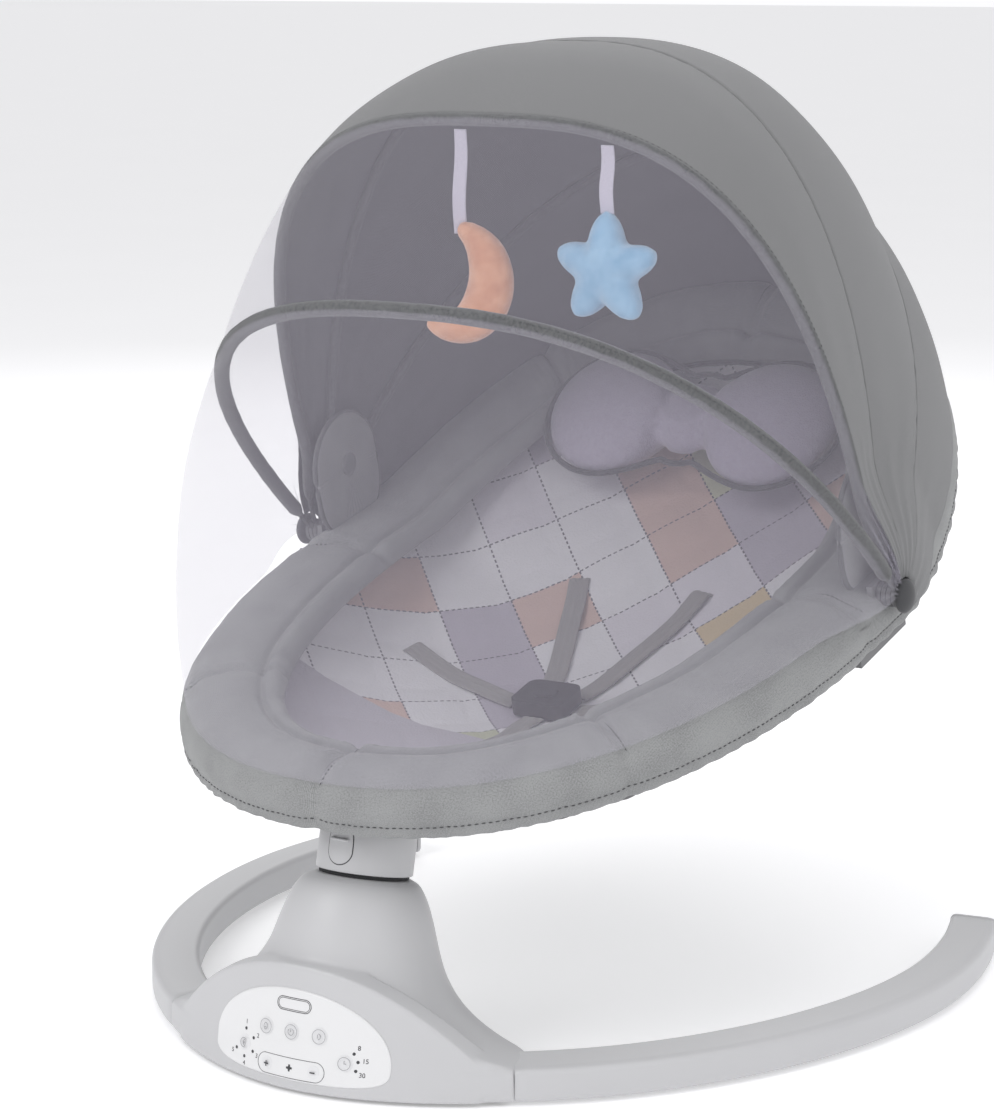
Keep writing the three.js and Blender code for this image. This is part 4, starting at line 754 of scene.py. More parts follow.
rows = [
    (0.026, COLLAR_LOW), (0.0296, COLLAR_LOW), (0.0301, COLLAR_LOW + 0.0004),
    (COLLAR_RADIUS, COLLAR_LOW + 0.001),
    (COLLAR_RADIUS, 0.018), (COLLAR_RADIUS, COLLAR_HIGH - 0.001), (0.0298, COLLAR_HIGH),
    (0.0272, COLLAR_HIGH),
    (0.0272, COLLAR_HIGH - 0.003),
]
collar = mesh_piece("collar_shell", swept(collar_ring, 96, rows), shell_plastic, "seat")
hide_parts("seat_collar")


def release_edge(angle, margin):
    """The release button's outline: round below and nearly square above."""
    half = RELEASE_HALF + margin
    x = half * signed_power(math.cos(angle), 1 if math.sin(angle) < 0 else 0.45)
    turn = RELEASE_LOW + RELEASE_HALF
    if math.sin(angle) < 0:
        rise = math.sin(angle) * half
    else:
        rise = signed_power(math.sin(angle), 0.45) * (RELEASE_HIGH - turn + margin)
    return x, turn + rise


def release_place(margin, proud):
    def at(u, v):
        x, up = release_edge(2 * math.pi * u, margin)
        middle = (RELEASE_LOW + RELEASE_HIGH) / 2
        share = [1, 1, 0.93, 0.0][round(v * 3)]
        lift = [-0.001, proud * 0.5, proud, proud][round(v * 3)]
        x, up = x * share, mixed(middle, up, share)
        return on_column(x, -math.sqrt(COLLAR_RADIUS ** 2 - x ** 2) - lift, up)
    return at


# Painted shade: a black sheet a little wider than the button lies on the collar, so a dark rim shows round
# the button where the gap is.
gap_shade_plate = mesh_piece(
    "release_gap_shade", grid_piece(64, 3, release_place(0.0006, 0.00012), close=True), black_plastic, "seat"
)
button = grid_piece(64, 3, release_place(0, 0.0006), close=True)
ledge = bmesh.new()
bmesh.ops.create_cube(ledge, size=1)
bmesh.ops.scale(ledge, vec=(0.0125, 0.0032, 0.0018), verts=ledge.verts)
bmesh.ops.bevel(
    ledge, geom=ledge.edges[:], offset=0.0007, segments=3, affect="EDGES", profile=0.5, material=-1
)
bmesh.ops.transform(ledge, matrix=Matrix.Rotation(-COLUMN_LEAN, 4, "X"), verts=ledge.verts)
bmesh.ops.translate(ledge, vec=on_column(0, -COLLAR_RADIUS - 0.0006, 0.0225), verts=ledge.verts)
release = mesh_piece("release_key", joined("release_key", [button, ledge]), shell_plastic, "release_button")
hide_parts("release_button")

# ---------------------------------------------------------------- seat frame tubes
# Two bent steel tubes, one round the foot and one round the head, plug into the side joints and
# are powder-coated dark grey. The seat's cloth is pulled over them.

buckle_joint = next(j for j in frame["joints"] if j["name"] == "buckle_press")
fold_joint = next(j for j in frame["joints"] if j["name"] == "canopy_fold")
HINGE = Vector(fold_joint["pos_m"])
SEAT_UP = -Vector(buckle_joint["axis"]).normalized()
SEAT_ALONG = Vector((0, SEAT_UP.z, -SEAT_UP.y))
SEAT_LEAN = math.atan2(SEAT_ALONG.z, SEAT_ALONG.y)
RIM_HALF = 0.222
RIM_FOOT = 0.341
RIM_HEAD = 0.312
RIM_INNER_HALF = 0.1486
RIM_INNER_FOOT = 0.283
RIM_INNER_HEAD = 0.244
RING_POWER = 2.28
TUBE_RADIUS = 0.008
TUBE_DROP = 0.027
TUBE_HALF = RIM_HALF - 0.017
TUBE_FOOT = RIM_FOOT - 0.023
TUBE_HEAD = RIM_HEAD - 0.028


def rise(s):
    """How far the seat rises out of its plane towards the head."""
    return 0.090 * (max(0, s - 0.040) / (RIM_HEAD - 0.040)) ** 1.3


def ring_place(turn, half, foot, head, drop=0.0):
    """A point of a seat ring as (across, along, up): turn 0 is the foot, positive is right."""
    x = half * signed_power(math.sin(turn), 2 / RING_POWER)
    length = foot if math.cos(turn) > 0 else head
    s = -length * signed_power(math.cos(turn), 2 / RING_POWER)
    return Vector((x, s, rise(s) - drop))


def in_seat(point):
    return HINGE + Vector((point[0], 0, 0)) + SEAT_ALONG * point[1] + SEAT_UP * point[2]


def tube_rings(path, radius, sides, start=(1, 0, 0)):
    """Outlines of a round tube along a row of points; radius may be a number for each point."""
    rows = []
    side = Vector(start)
    for i, point in enumerate(path):
        along = (path[min(i + 1, len(path) - 1)] - path[max(i - 1, 0)]).normalized()
        side = (side - along * side.dot(along)).normalized()
        other = along.cross(side)
        reach = radius[i] if isinstance(radius, list) else radius
        angles = [2 * math.pi * k / sides for k in range(sides)]
        rows.append([point + side * (reach * math.cos(a)) + other * (reach * math.sin(a)) for a in angles])
    return rows


def tube_piece(path, radius, sides=12, start=(1, 0, 0)):
    return swept(lambda row: row, sides, tube_rings(path, radius, sides, start))


tube_paint = moulded("dark_powder_coat", (0.09, 0.09, 0.095), 0.55, 1200, 0.2)
for name, middle, length in (("foot_tube", 0, TUBE_FOOT), ("head_tube", math.pi, TUBE_HEAD)):
    reach = math.acos((0.006 / length) ** (RING_POWER / 2))
    path = [
        in_seat(ring_place(t, TUBE_HALF, TUBE_FOOT, TUBE_HEAD, TUBE_DROP))
        for t in spread(middle - reach, middle + reach, 90)
    ]
    bar = mesh_piece(
        name.replace("tube", "end_tube"), tube_piece(path, TUBE_RADIUS, 16, (0, 0, 1)), tube_paint, "seat"
    )
    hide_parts(name)

# ---------------------------------------------------------------- padded rim
# A thick grey melange linen roll, filled with foam, lies on the frame all round the seat. Its
# outer side wraps down over the tube to a stitched, slightly gathered hem.


def woven(name, light, dark, pitch=0.0009, melange=420, bump=0.5, sheen=0.25, coords="UV"):
    """A plain weave: crossed threads, and a melange of lighter and darker yarn."""
    material, tree, base = plain_material(
        name, light, 0.92, Sheen_Weight=sheen, Sheen_Roughness=0.45, Specular_IOR_Level=0.2
    )
    place = node(tree, "TexCoord")
    thread_scale = 0.314 / pitch
    warp = node(tree, "TexWave", Scale=thread_scale, Distortion=1.2, Detail=1.0)
    weft = node(tree, "TexWave", Scale=thread_scale, Distortion=1.2, Detail=1.0)
    weft.bands_direction = "Y"
    third = node(tree, "TexNoise", Scale=melange, Detail=4.0, Roughness=0.7)
    slow = node(tree, "TexNoise", Scale=melange / 30, Detail=2.0)
    for texture in (warp, weft, third, slow):
        link(tree, place.outputs[coords], texture.inputs["Vector"])
    over = maths(tree, "MAXIMUM", warp.outputs["Fac"], weft.outputs["Fac"])
    shade = maths(tree, "MULTIPLY_ADD", over.outputs["Value"], 0.35, third.outputs["Fac"])
    soft = maths(tree, "MULTIPLY_ADD", slow.outputs["Fac"], 0.35, shade.outputs["Value"])
    tone = two_tone(tree, (*dark, 1), (*light, 1), 0.62, 1.0)
    link(tree, soft.outputs["Value"], tone.inputs["Fac"])
    link(tree, tone.outputs["Color"], base.inputs["Base Color"])
    bumped(tree, base, over.outputs["Value"], bump, 0.0004)
    return material


linen = woven("grey_melange_linen", (0.345, 0.35, 0.35), (0.15, 0.152, 0.155), 0.0009, 900)
dark_thread = woven("dark_thread", (0.10, 0.10, 0.105), (0.05, 0.05, 0.055), coords="Object")
pale_thread = woven("pale_thread", (0.42, 0.42, 0.42), (0.3, 0.3, 0.3), coords="Object")

RIM_SECTION = [
    (1.00, 0.0075), (0.995, 0.0010), (0.93, -0.0042), (0.85, -0.0046), (0.79, -0.0014), (0.72, -0.0056),
    (0.52, -0.0096), (0.32, -0.0088), (0.15, -0.0050), (0.04, 0.0008), (-0.015, 0.0090), (-0.030, 0.0165),
    (-0.020, 0.0200), (-0.026, 0.0235), (-0.012, 0.0272), (0.02, 0.0268), (0.05, 0.0220), (0.06, 0.0140),
    (0.30, 0.0135), (0.70, 0.0130), (0.95, 0.0115),
]
RIM_SEAMS = (0.0, 0.80, 1.50, 2.35, math.pi, -2.35, -1.50, -0.80)
RIM_AROUND = 760
SECTION_STEPS = 84


def loop_spline(points, share):
    """A smooth closed curve through points, at a share of its way round."""
    count = len(points)
    at = share * count
    i = int(at) % count
    t = at - int(at)
    p = [Vector(points[(i + k) % count]) for k in (-1, 0, 1, 2)]
    return 0.5 * ((2 * p[1]) + (p[2] - p[0]) * t + (2 * p[0] - 5 * p[1] + 4 * p[2] - p[3]) * t ** 2
                  + (3 * p[1] - p[0] - 3 * p[2] + p[3]) * t ** 3)


def turn_gap(a, b):
    return abs((a - b + math.pi) % (2 * math.pi) - math.pi)


def rim_point(turn, share, drop):
    """A point of the padded rim: share runs from its outer to its inner edge."""
    inner = ring_place(turn, RIM_INNER_HALF, RIM_INNER_FOOT, RIM_INNER_HEAD)
    outer = ring_place(turn, RIM_HALF, RIM_FOOT, RIM_HEAD)
    flat = outer.lerp(inner, share)
    height = rise(flat.y)
    seam = min(turn_gap(turn, s) for s in RIM_SEAMS)
    arc = seam * 0.28
    pinch = math.exp(-(arc / 0.0045) ** 2)
    gather = math.exp(-(arc / 0.022) ** 2)
    ripple = noise.noise(Vector((flat.x * 60, flat.y * 60, share * 3))) * 0.0006
    ripple += noise.noise(Vector((flat.x * 16, flat.y * 16, share * 4 + 7))) * 0.0016
    ripple += gather * noise.noise(Vector((turn * 90, share * 4, 3))) * 0.0016
    hang = eased(0.008, 0.026, drop)
    wave = math.sin(turn * 118 + 3 * noise.noise(Vector((turn * 6, 0, 0)))) * 0.0005
    wave *= eased(0.020, 0.027, drop)
    fold = noise.noise(Vector((turn * 34, drop * 40, 1))) * 0.0012 * hang
    outward = (outer - inner).normalized()
    top = 1 - eased(0.004, 0.010, drop)
    place = flat + outward * (fold + wave)
    place.z = height - drop + (ripple - 0.0042 * pinch) * top
    place += outward * (-0.0022 * pinch * eased(0.0, 0.008, drop)) * (1 if share < 0.4 else 0)
    return in_seat(place)


section = [loop_spline(RIM_SECTION, k / SECTION_STEPS) for k in range(SECTION_STEPS)]


def rim_place(u, v):
    share, drop = section[round(v * SECTION_STEPS) % SECTION_STEPS]
    return rim_point(2 * math.pi * u, share, drop)


RIM_ROUND = 1.72
rim = mesh_piece(
    "padded_rim", grid_piece(RIM_AROUND, SECTION_STEPS, rim_place, (RIM_ROUND, 0.22)), linen, "seat"
)
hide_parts("rim_pad")


def stitches(name, path, material, body, length=0.0030, pitch=0.0042, thick=0.00042):
    """A row of sewn stitches: small plump threads laid end to end along a path."""
    bm = bmesh.new()
    run = 0.0
    due = pitch
    for a, b in zip(path, path[1:]):
        step = (b - a).length
        while run + step >= due:
            place = a.lerp(b, (due - run) / step)
            turn = (b - a).to_track_quat("X", "Z").to_matrix().to_4x4()
            shape = Matrix.Translation(place) @ turn @ Matrix.Diagonal((length / 2, thick, thick, 1))
            bmesh.ops.create_uvsphere(bm, u_segments=6, v_segments=4, radius=1, matrix=shape)
            due += pitch
        run += step
    return mesh_piece(name, bm, material, body)


around = spread(0, 2 * math.pi, 520)
for name, share, drop, thread in (
    ("rim_inner_stitching", 0.79, -0.0012, pale_thread),
    ("rim_hem_stitching", -0.022, 0.0202, dark_thread),
):
    row = stitches(name, [rim_point(turn, share, drop) for turn in around], thread, "seat")
for i, seam in enumerate(RIM_SEAMS):
    cross = []
    for k in range(31):
        drop = -0.0012 - 0.0085 * math.sin(math.pi * (0.1 + 0.8 * k / 30))
        cross.append(rim_point(seam + 0.010, mixed(0.76, 0.06, k / 30), drop))
    stitches(f"rim_cross_stitching_{i + 1}", cross, dark_thread, "seat", 0.0024, 0.0036)

# ---------------------------------------------------------------- sling and frame sleeve
# The seat's shell is one bag of grey linen, hung from the frame. A sleeve at its edge holds the
# tubes, and its belly shows from below and behind. The sleeve is drawn with a darker copy of the
# linen, as painted shade.

SLING_HALF = TUBE_HALF - TUBE_RADIUS - 0.005
SLING_FOOT = TUBE_FOOT - TUBE_RADIUS - 0.003 - 0.005
SLING_HEAD = TUBE_HEAD - TUBE_RADIUS - 0.005
SLING_THICK = 0.003


def sling_top(x, s):
    """Height of the sling's upper side: a dish that is deeper at the foot than at the head."""
    length = SLING_FOOT if s < 0 else SLING_HEAD
    share = min(1, (abs(x / SLING_HALF) ** RING_POWER + abs(s / length) ** RING_POWER) ** (1 / RING_POWER))
    depth = mixed(0.070, 0.036, eased(-0.060, 0.120, s))
    return rise(s) - 0.017 - depth * (1 - share ** 2.6)


def dish_at(u, v, reach=1.0):
    """A square grid wrapped into the seat's outline, as (across, along, share of the way out)."""
    a, b = 2 * u - 1, 2 * v - 1
    x, y = a * math.sqrt(1 - b * b / 2) * reach, b * math.sqrt(1 - a * a / 2) * reach
    radius = math.hypot(x, y)
    edge = ring_place(math.atan2(x, -y) if radius else 0, SLING_HALF, SLING_FOOT, SLING_HEAD)
    return edge.x * radius, edge.y * radius, radius


def sling_place(u, v):
    x, s, share = dish_at(u, v, 1.022)
    crease = noise.noise(Vector((x * 9, s * 26, 2))) * 0.0014 * share ** 2
    return in_seat((x, s, sling_top(x, s) - SLING_THICK + crease - 0.006 * eased(0.93, 1.02, share)))


bm = grid_piece(110, 150, sling_place, (0.40, 0.66))
thickened(bm, 0.0016)
sling = mesh_piece("seat_sling_cloth", bm, linen, "seat")
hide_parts("seat_sling")

SLEEVE_RADIUS = 0.0104
path = [
    in_seat(ring_place(t, TUBE_HALF - 0.001, TUBE_FOOT, TUBE_HEAD, TUBE_DROP))
    for t in spread(0, 2 * math.pi, 420)[:-1]
]


def sleeve_place(u, v):
    i = round(v * 420) % 420
    along = (path[(i + 1) % 420] - path[i - 1]).normalized()
    side = (SEAT_UP - along * along.dot(SEAT_UP)).normalized()
    angle = 2 * math.pi * u
    crinkle = noise.noise(Vector((i * 0.21, 2.2 * math.cos(angle), 2.2 * math.sin(angle)))) * 0.0009
    reach = SLEEVE_RADIUS + crinkle + 0.0006 * math.sin(i * 1.1)
    return path[i] + (side * math.cos(angle) + along.cross(side) * math.sin(angle)) * reach


# Painted shade: the sleeve's linen is a darker copy of the seat's grey linen.
shadow_linen = woven("painted_shade_underside_linen", (0.15, 0.15, 0.155), (0.06, 0.06, 0.064), 0.0009, 700)
sleeve = mesh_piece("frame_sleeve", grid_piece(16, 420, sleeve_place, (0.065, 1.6)), shadow_linen, "seat")

# ---------------------------------------------------------------- seat mount sock
# Charcoal stretch cloth is gathered round the joint between the collar and the seat, and hides
# the plastic saddle that carries the foot tube.

charcoal = woven("charcoal_stretch_cloth", (0.085, 0.085, 0.09), (0.03, 0.03, 0.034), 0.0007)


def sock_place(u, v):
    angle = 2 * math.pi * u
    up = mixed(0.0315, 0.050, v)
    fold = noise.noise(Vector((3 * math.cos(angle), 3 * math.sin(angle), up * 260))) * 0.0011
    spread_out = 0.0022 * eased(0, 0.35, v) + 0.004 * eased(0.4, 1, v)
    reach = 0.0312 + spread_out + fold + 0.0008 * math.sin(up * 900)
    return on_column(reach * math.cos(angle), reach * math.sin(angle) * 1.02, up)


bm = grid_piece(120, 30, sock_place, (0.2, 0.019))
thickened(bm, -0.0008)
sock = mesh_piece("mount_sock", bm, charcoal, "seat")

# ---------------------------------------------------------------- seat liner
# The washable liner is quilted: its back half is printed with a patchwork of soft colours under
# dashed crossing lines, and its foot half is plain lilac knit. It lies loose in the sling.

LINER_THICK = 0.007
LINER_LIFT = 0.0004
QUILT = 0.052
PRINT_FROM = -0.135


def quilted(s_middle):
    """The liner's cloth: knit grain, patches laid on the diagonal, and dashed lines over them."""
    material, tree, base = plain_material(
        "printed_liner", (0.5, 0.46, 0.54), 0.93, Sheen_Weight=0.3, Sheen_Roughness=0.4
    )
    place = node(tree, "TexCoord")
    turned = node(tree, "Mapping")
    turned.inputs["Rotation"].default_value = (0, 0, math.radians(45))
    turned.inputs["Scale"].default_value = (1 / QUILT, 1 / QUILT, 0)
    link(tree, place.outputs["UV"], turned.inputs["Vector"])
    cell = node(tree, "VectorMath", operation="FLOOR")
    link(tree, turned.outputs["Vector"], cell.inputs[0])
    pick = node(tree, "TexWhiteNoise")
    pick.noise_dimensions = "2D"
    link(tree, cell.outputs["Vector"], pick.inputs["Vector"])
    patch = node(tree, "ValToRGB")
    patch.color_ramp.interpolation = "CONSTANT"
    colours = [
        (0.0, (0.80, 0.79, 0.82)), (0.42, (0.50, 0.46, 0.54)), (0.60, (0.66, 0.47, 0.41)),
        (0.78, (0.74, 0.71, 0.77)), (0.89, (0.56, 0.58, 0.40)), (0.95, (0.68, 0.53, 0.30)),
    ]
    ramp = patch.color_ramp
    while len(ramp.elements) < len(colours):
        ramp.elements.new(0.5)
    for element, (at, colour) in zip(ramp.elements, colours):
        element.position = at
        element.color = (*colour, 1)
    link(tree, pick.outputs["Value"], patch.inputs["Fac"])
    split = node(tree, "SeparateXYZ")
    shifted = node(tree, "VectorMath", operation="ADD")
    shifted.inputs[1].default_value = (0.5, 0.5, 0)
    link(tree, turned.outputs["Vector"], shifted.inputs[0])
    link(tree, shifted.outputs["Vector"], split.inputs["Vector"])
    dashes = []
    for across, along in (("X", "Y"), ("Y", "X")):
        part = maths(tree, "FRACT", split.outputs[across])
        off = maths(tree, "SUBTRACT", part.outputs[0], 0.5)
        size = maths(tree, "ABSOLUTE", off.outputs[0])
        thin = maths(tree, "LESS_THAN", size.outputs[0], 0.012)
        fast = maths(tree, "MULTIPLY", split.outputs[along], 12)
        wave = maths(tree, "FRACT", fast.outputs[0])
        on = maths(tree, "LESS_THAN", wave.outputs[0], 0.6)
        dash = maths(tree, "MULTIPLY", thin.outputs[0], on.outputs[0])
        dashes.append(dash)
    lines = maths(tree, "MAXIMUM", dashes[0].outputs[0], dashes[1].outputs[0])
    inked = node(tree, "Mix", data_type="RGBA")
    inked.inputs[7].default_value = (0.12, 0.11, 0.13, 1)
    link(tree, lines.outputs[0], inked.inputs[0])
    link(tree, patch.outputs["Color"], inked.inputs[6])
    where = node(tree, "SeparateXYZ")
    link(tree, place.outputs["UV"], where.inputs["Vector"])
    back = maths(tree, "GREATER_THAN", where.outputs["Y"], s_middle)
    grain = node(tree, "TexNoise", Scale=700.0, Detail=3.0)
    knit = node(tree, "TexVoronoi", Scale=620.0)
    plain = two_tone(tree, (0.43, 0.405, 0.46, 1), (0.62, 0.59, 0.65, 1))
    for texture in (grain, knit):
        link(tree, place.outputs["UV"], texture.inputs["Vector"])
    link(tree, grain.outputs["Fac"], plain.inputs["Fac"])
    cloth = node(tree, "Mix", data_type="RGBA")
    link(tree, back.outputs[0], cloth.inputs[0])
    link(tree, plain.outputs["Color"], cloth.inputs[6])
    link(tree, inked.outputs[2], cloth.inputs[7])
    link(tree, cloth.outputs[2], base.inputs["Base Color"])
    bumped(tree, base, knit.outputs["Distance"], 0.5, 0.0005)
    return material


LINER_LONG = 0.60
LINER_WIDE = 0.40
liner_cloth = quilted(PRINT_FROM + LINER_LONG / 2)


def liner_height(x, s, share):
    """The quilted top: it swells between sewn diagonals and thins out to the piped edge."""
    a, b = (x + s) / QUILT * 0.7071, (s - x) / QUILT * 0.7071
    swell = (abs(math.sin(math.pi * a)) * abs(math.sin(math.pi * b))) ** 0.5
    ripple = noise.noise(Vector((x * 22, s * 22, 5))) * 0.0010
    thick = LINER_THICK * (1 - 0.55 * eased(0.72, 1, share))
    return sling_top(x, s) + LINER_LIFT + thick + 0.0016 * (swell - 0.6) + ripple


def liner_place(u, v):
    x, s, share = dish_at(u, v, 0.93)
    return in_seat((x, s, liner_height(x, s, share)))


bm = grid_piece(150, 210, liner_place)
uv = bm.loops.layers.uv.active
for face in bm.faces:
    for loop in face.loops:
        offset = loop.vert.co - HINGE
        loop[uv].uv = (offset.x + LINER_WIDE / 2, offset.dot(SEAT_ALONG) + LINER_LONG / 2)
thickened(bm, 0.003)
liner = mesh_piece("quilted_liner", bm, liner_cloth, "seat")
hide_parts("seat_liner")


def liner_edge(turn, reach=0.93, lift=0.0):
    edge = ring_place(turn, SLING_HALF, SLING_FOOT, SLING_HEAD)
    x, s = edge.x * reach, edge.y * reach
    return in_seat((x, s, liner_height(x, s, reach) - 0.0016 + lift))


path = [liner_edge(turn) for turn in spread(0, 2 * math.pi, 260)[:-1]]


def closed_tube(path, radius, sides):
    """A ring-shaped tube along a closed path."""
    count = len(path)

    def at(u, v):
        i = round(v * count) % count
        along = (path[(i + 1) % count] - path[i - 1]).normalized()
        side = (SEAT_UP - along * along.dot(SEAT_UP)).normalized()
        angle = 2 * math.pi * u
        return path[i] + (side * math.cos(angle) + along.cross(side) * math.sin(angle)) * radius
    return grid_piece(sides, count, at, (2 * math.pi * radius, 1.5))


piping = mesh_piece("liner_piping", closed_tube(path, 0.0021, 10), charcoal, "seat")

# ---------------------------------------------------------------- canopy bows and casings
# Four spring-wire bows turn on one hinge line at the seat's sides. Each runs in a sewn casing of
# grey cloth, and the front edge and the net's bow are bound with a thick rolled piping.

CLOTH_OFFSET = 0.0036
CLOTH_START = 0.012
CLOTH_HUB_X = 0.230
SEAM_ANGLE = 0.011
NET_BOW = (0.694, 0.299, 0.230, 2.545, 3)
FRONT_BOW = (1.158, 0.330, 0.216, 2.97, 2)
MIDDLE_BOW = (1.51, 0.346, 0.212, 2.47, 1)
REAR_BOW = (2.171, 0.331, 0.220, 2.0, 0)


def arch_rounds(reach, power, start=CLOTH_START, near=26, middle=130):
    """Places round an arch: evenly out from each hub at first, then evenly over the top."""
    def at(distance):
        return math.asin((distance / reach) ** (power / 2))
    hub = [at(distance) for distance in spread(start, reach * 0.42, near)]
    return hub + spread(hub[-1], math.pi - hub[-1], middle)[1:-1] + [math.pi - t for t in reversed(hub)]


def fan_point(x, reach, angle):
    return HINGE + Vector((x, -reach * math.cos(angle), reach * math.sin(angle)))


def bow_path(bow, offset=0.0, start=0.0065):
    angle, length, half, power, place = bow
    eye = 0.219 + 0.0035 * place
    path = []
    for turn in arch_rounds(length, power, start):
        reach = (length + offset) * math.sin(turn) ** (2 / power)
        free = (half + offset) * signed_power(math.cos(turn), 2 / power)
        side = math.copysign(eye, math.cos(turn))
        path.append(fan_point(mixed(side, free, eased(0.014, 0.070, reach)), reach, angle))
    return path


def casing(name, bow, radius, body, material, start=0.020):
    """A sewn tube of cloth round a bow, with the small puckers of its stitching."""
    path = bow_path(bow, 0.0, start)
    rows = tube_rings(path, radius, 14, (0, 1, 0))
    for i, row in enumerate(rows):
        end = min(i, len(rows) - 1 - i)
        squeeze = 1 - 0.9 * (1 - eased(0, 3, end)) + 0.05 * noise.noise(Vector((i * 0.5, 0, radius * 900)))
        rows[i] = [path[i] + (point - path[i]) * squeeze for point in row]
    piece = mesh_piece(name, swept(lambda row: row, 14, rows, (0.03, 0.9)), material, body)
    return piece


joint_plastic = moulded("joint_plastic", (0.19, 0.19, 0.195), 0.6, 900, 0.1)
for node_name in ("left_side_joint", "right_side_joint"):
    frame["nodes"][node_name].data.materials[0] = joint_plastic
bow_paint = moulded("bow_paint", (0.12, 0.12, 0.125), 0.5, 1200, 0.2)
for node_name in ("rear_bow", "middle_bow", "front_bow", "net_bow"):
    frame["nodes"][node_name].data.materials[0] = bow_paint
canopy_dark = woven("canopy_binding", (0.155, 0.158, 0.162), (0.06, 0.06, 0.064), 0.0007)
casing("rear_bow_casing", REAR_BOW, 0.0036, "rear_bow", canopy_dark)
casing("middle_bow_casing", MIDDLE_BOW, 0.0036, "middle_bow", canopy_dark)
casing("front_edge_piping", FRONT_BOW, 0.0042, "front_bow", canopy_dark)
casing("net_bow_binding", NET_BOW, 0.0052, "net_bow", canopy_dark, 0.016)
for name, bow, offset, body in (
    ("front_edge", FRONT_BOW, 0.0040, "front_bow"), ("net_bow", NET_BOW, 0.0050, "net_bow")
):
    angle = bow[0] + (0.006 if body == "front_bow" else 0.0)
    row = bow_path((angle, *bow[1:]), offset, 0.05)
    stitches(f"{name}_stitching", row, dark_thread, body, 0.0026, 0.0040, 0.0002)

# The bound end of the net's bow covers the rivet on each side.
for side, name in ((-1, "left"), (1, "right")):
    cap = bmesh.new()
    bmesh.ops.create_uvsphere(cap, u_segments=40, v_segments=20, radius=1,
                              matrix=Matrix.Translation(HINGE + Vector((side * 0.2345, 0, 0)))
                              @ Matrix.Diagonal((0.0056, 0.0112, 0.0112, 1)))
    mesh_piece(f"{name}_hinge_cap", cap, canopy_dark, "net_bow")

# ---------------------------------------------------------------- canopy
# Three panels of smooth grey woven cloth are sewn edge to edge over the bows, and the last is
# sewn to the rim behind the head. The cloth is one thin layer; its inside is drawn with a darker
# copy of the cloth, as painted shade.


def fine_outer_weave(name, outside, pitch=0.0006):
    """A fine tight weave for the cloth's outer side; the darker inner side is a separate material, as painted
    shade.
    """
    material, tree, base = plain_material(
        name, outside, 0.88, Sheen_Weight=0.2, Sheen_Roughness=0.5, Specular_IOR_Level=0.25
    )
    place = node(tree, "TexCoord")
    warp = node(tree, "TexWave", Scale=0.314 / pitch, Distortion=0.8)
    weft = node(tree, "TexWave", Scale=0.314 / pitch, Distortion=0.8)
    weft.bands_direction = "Y"
    fleck = node(tree, "TexNoise", Scale=900.0, Detail=3.0, Roughness=0.7)
    for texture in (warp, weft, fleck):
        link(tree, place.outputs["UV"], texture.inputs["Vector"])
    over = maths(tree, "MAXIMUM", warp.outputs["Fac"], weft.outputs["Fac"])
    shade = maths(tree, "MULTIPLY_ADD", over.outputs[0], 0.3, fleck.outputs["Fac"])
    tone = two_tone(tree, (*[c * 0.86 for c in outside], 1), (*[c * 1.06 for c in outside], 1), 0.45, 1.0)
    link(tree, shade.outputs[0], tone.inputs["Fac"])
    link(tree, tone.outputs["Color"], base.inputs["Base Color"])
    bumped(tree, base, over.outputs[0], 0.35, 0.0003)
    return material


canopy_cloth = fine_outer_weave("canopy_outer_cloth", (0.205, 0.206, 0.21))
# Painted shade: the canopy's inner side gets a darker copy of its grey cloth.
painted_shade_inner_cloth = woven("canopy_painted_shade_inner_cloth", (0.155, 0.157, 0.165), (0.075, 0.077, 0.082), 0.0011, 520)


def bow_edge(bow):
    angle, length, half, power, _ = bow
    rounds = arch_rounds(length, power)

    def at(i, offset):
        turn = rounds[i]
        reach = (length + offset) * math.sin(turn) ** (2 / power)
        free = (half + offset) * signed_power(math.cos(turn), 2 / power)
        return free, reach, angle, math.copysign(1, math.cos(turn)), turn
    return at


def rim_edge(end, lift, grow):
    """The cloth's edge along the rim: end is 1 round the foot and -1 round the head."""
    length = RIM_FOOT if end > 0 else RIM_HEAD
    rounds = arch_rounds(length + grow, RING_POWER)

    def at(i, offset):
        more = offset + grow
        turn = math.pi / 2 - end * rounds[i]
        point = ring_place(turn, RIM_HALF + more, RIM_FOOT + more, RIM_HEAD + more, -lift)
        up = math.atan2(point.z, abs(point.y))
        angle = up - SEAT_LEAN if end > 0 else math.pi - SEAT_LEAN - up
        return point.x, math.hypot(point.y, point.z), angle, math.copysign(1, point.x), rounds[i]
    return at


STATIONS = len(arch_rounds(0.3, 2))


def cloth_point(first, second, i, share, offset, bulge, gaps):
    ax, a_reach, a_angle, side, turn = first(i, offset)
    bx, b_reach, b_angle, _, _ = second(i, offset)
    reach = mixed(a_reach, b_reach, share) + bulge * math.sin(math.pi * share) * math.sin(turn)
    angle = mixed(a_angle + gaps[0], b_angle - gaps[1], share)
    free = mixed(ax, bx, share)
    x = mixed(side * (CLOTH_HUB_X + offset), free, eased(0.018, 0.090, reach))
    return fan_point(x, reach, angle), reach


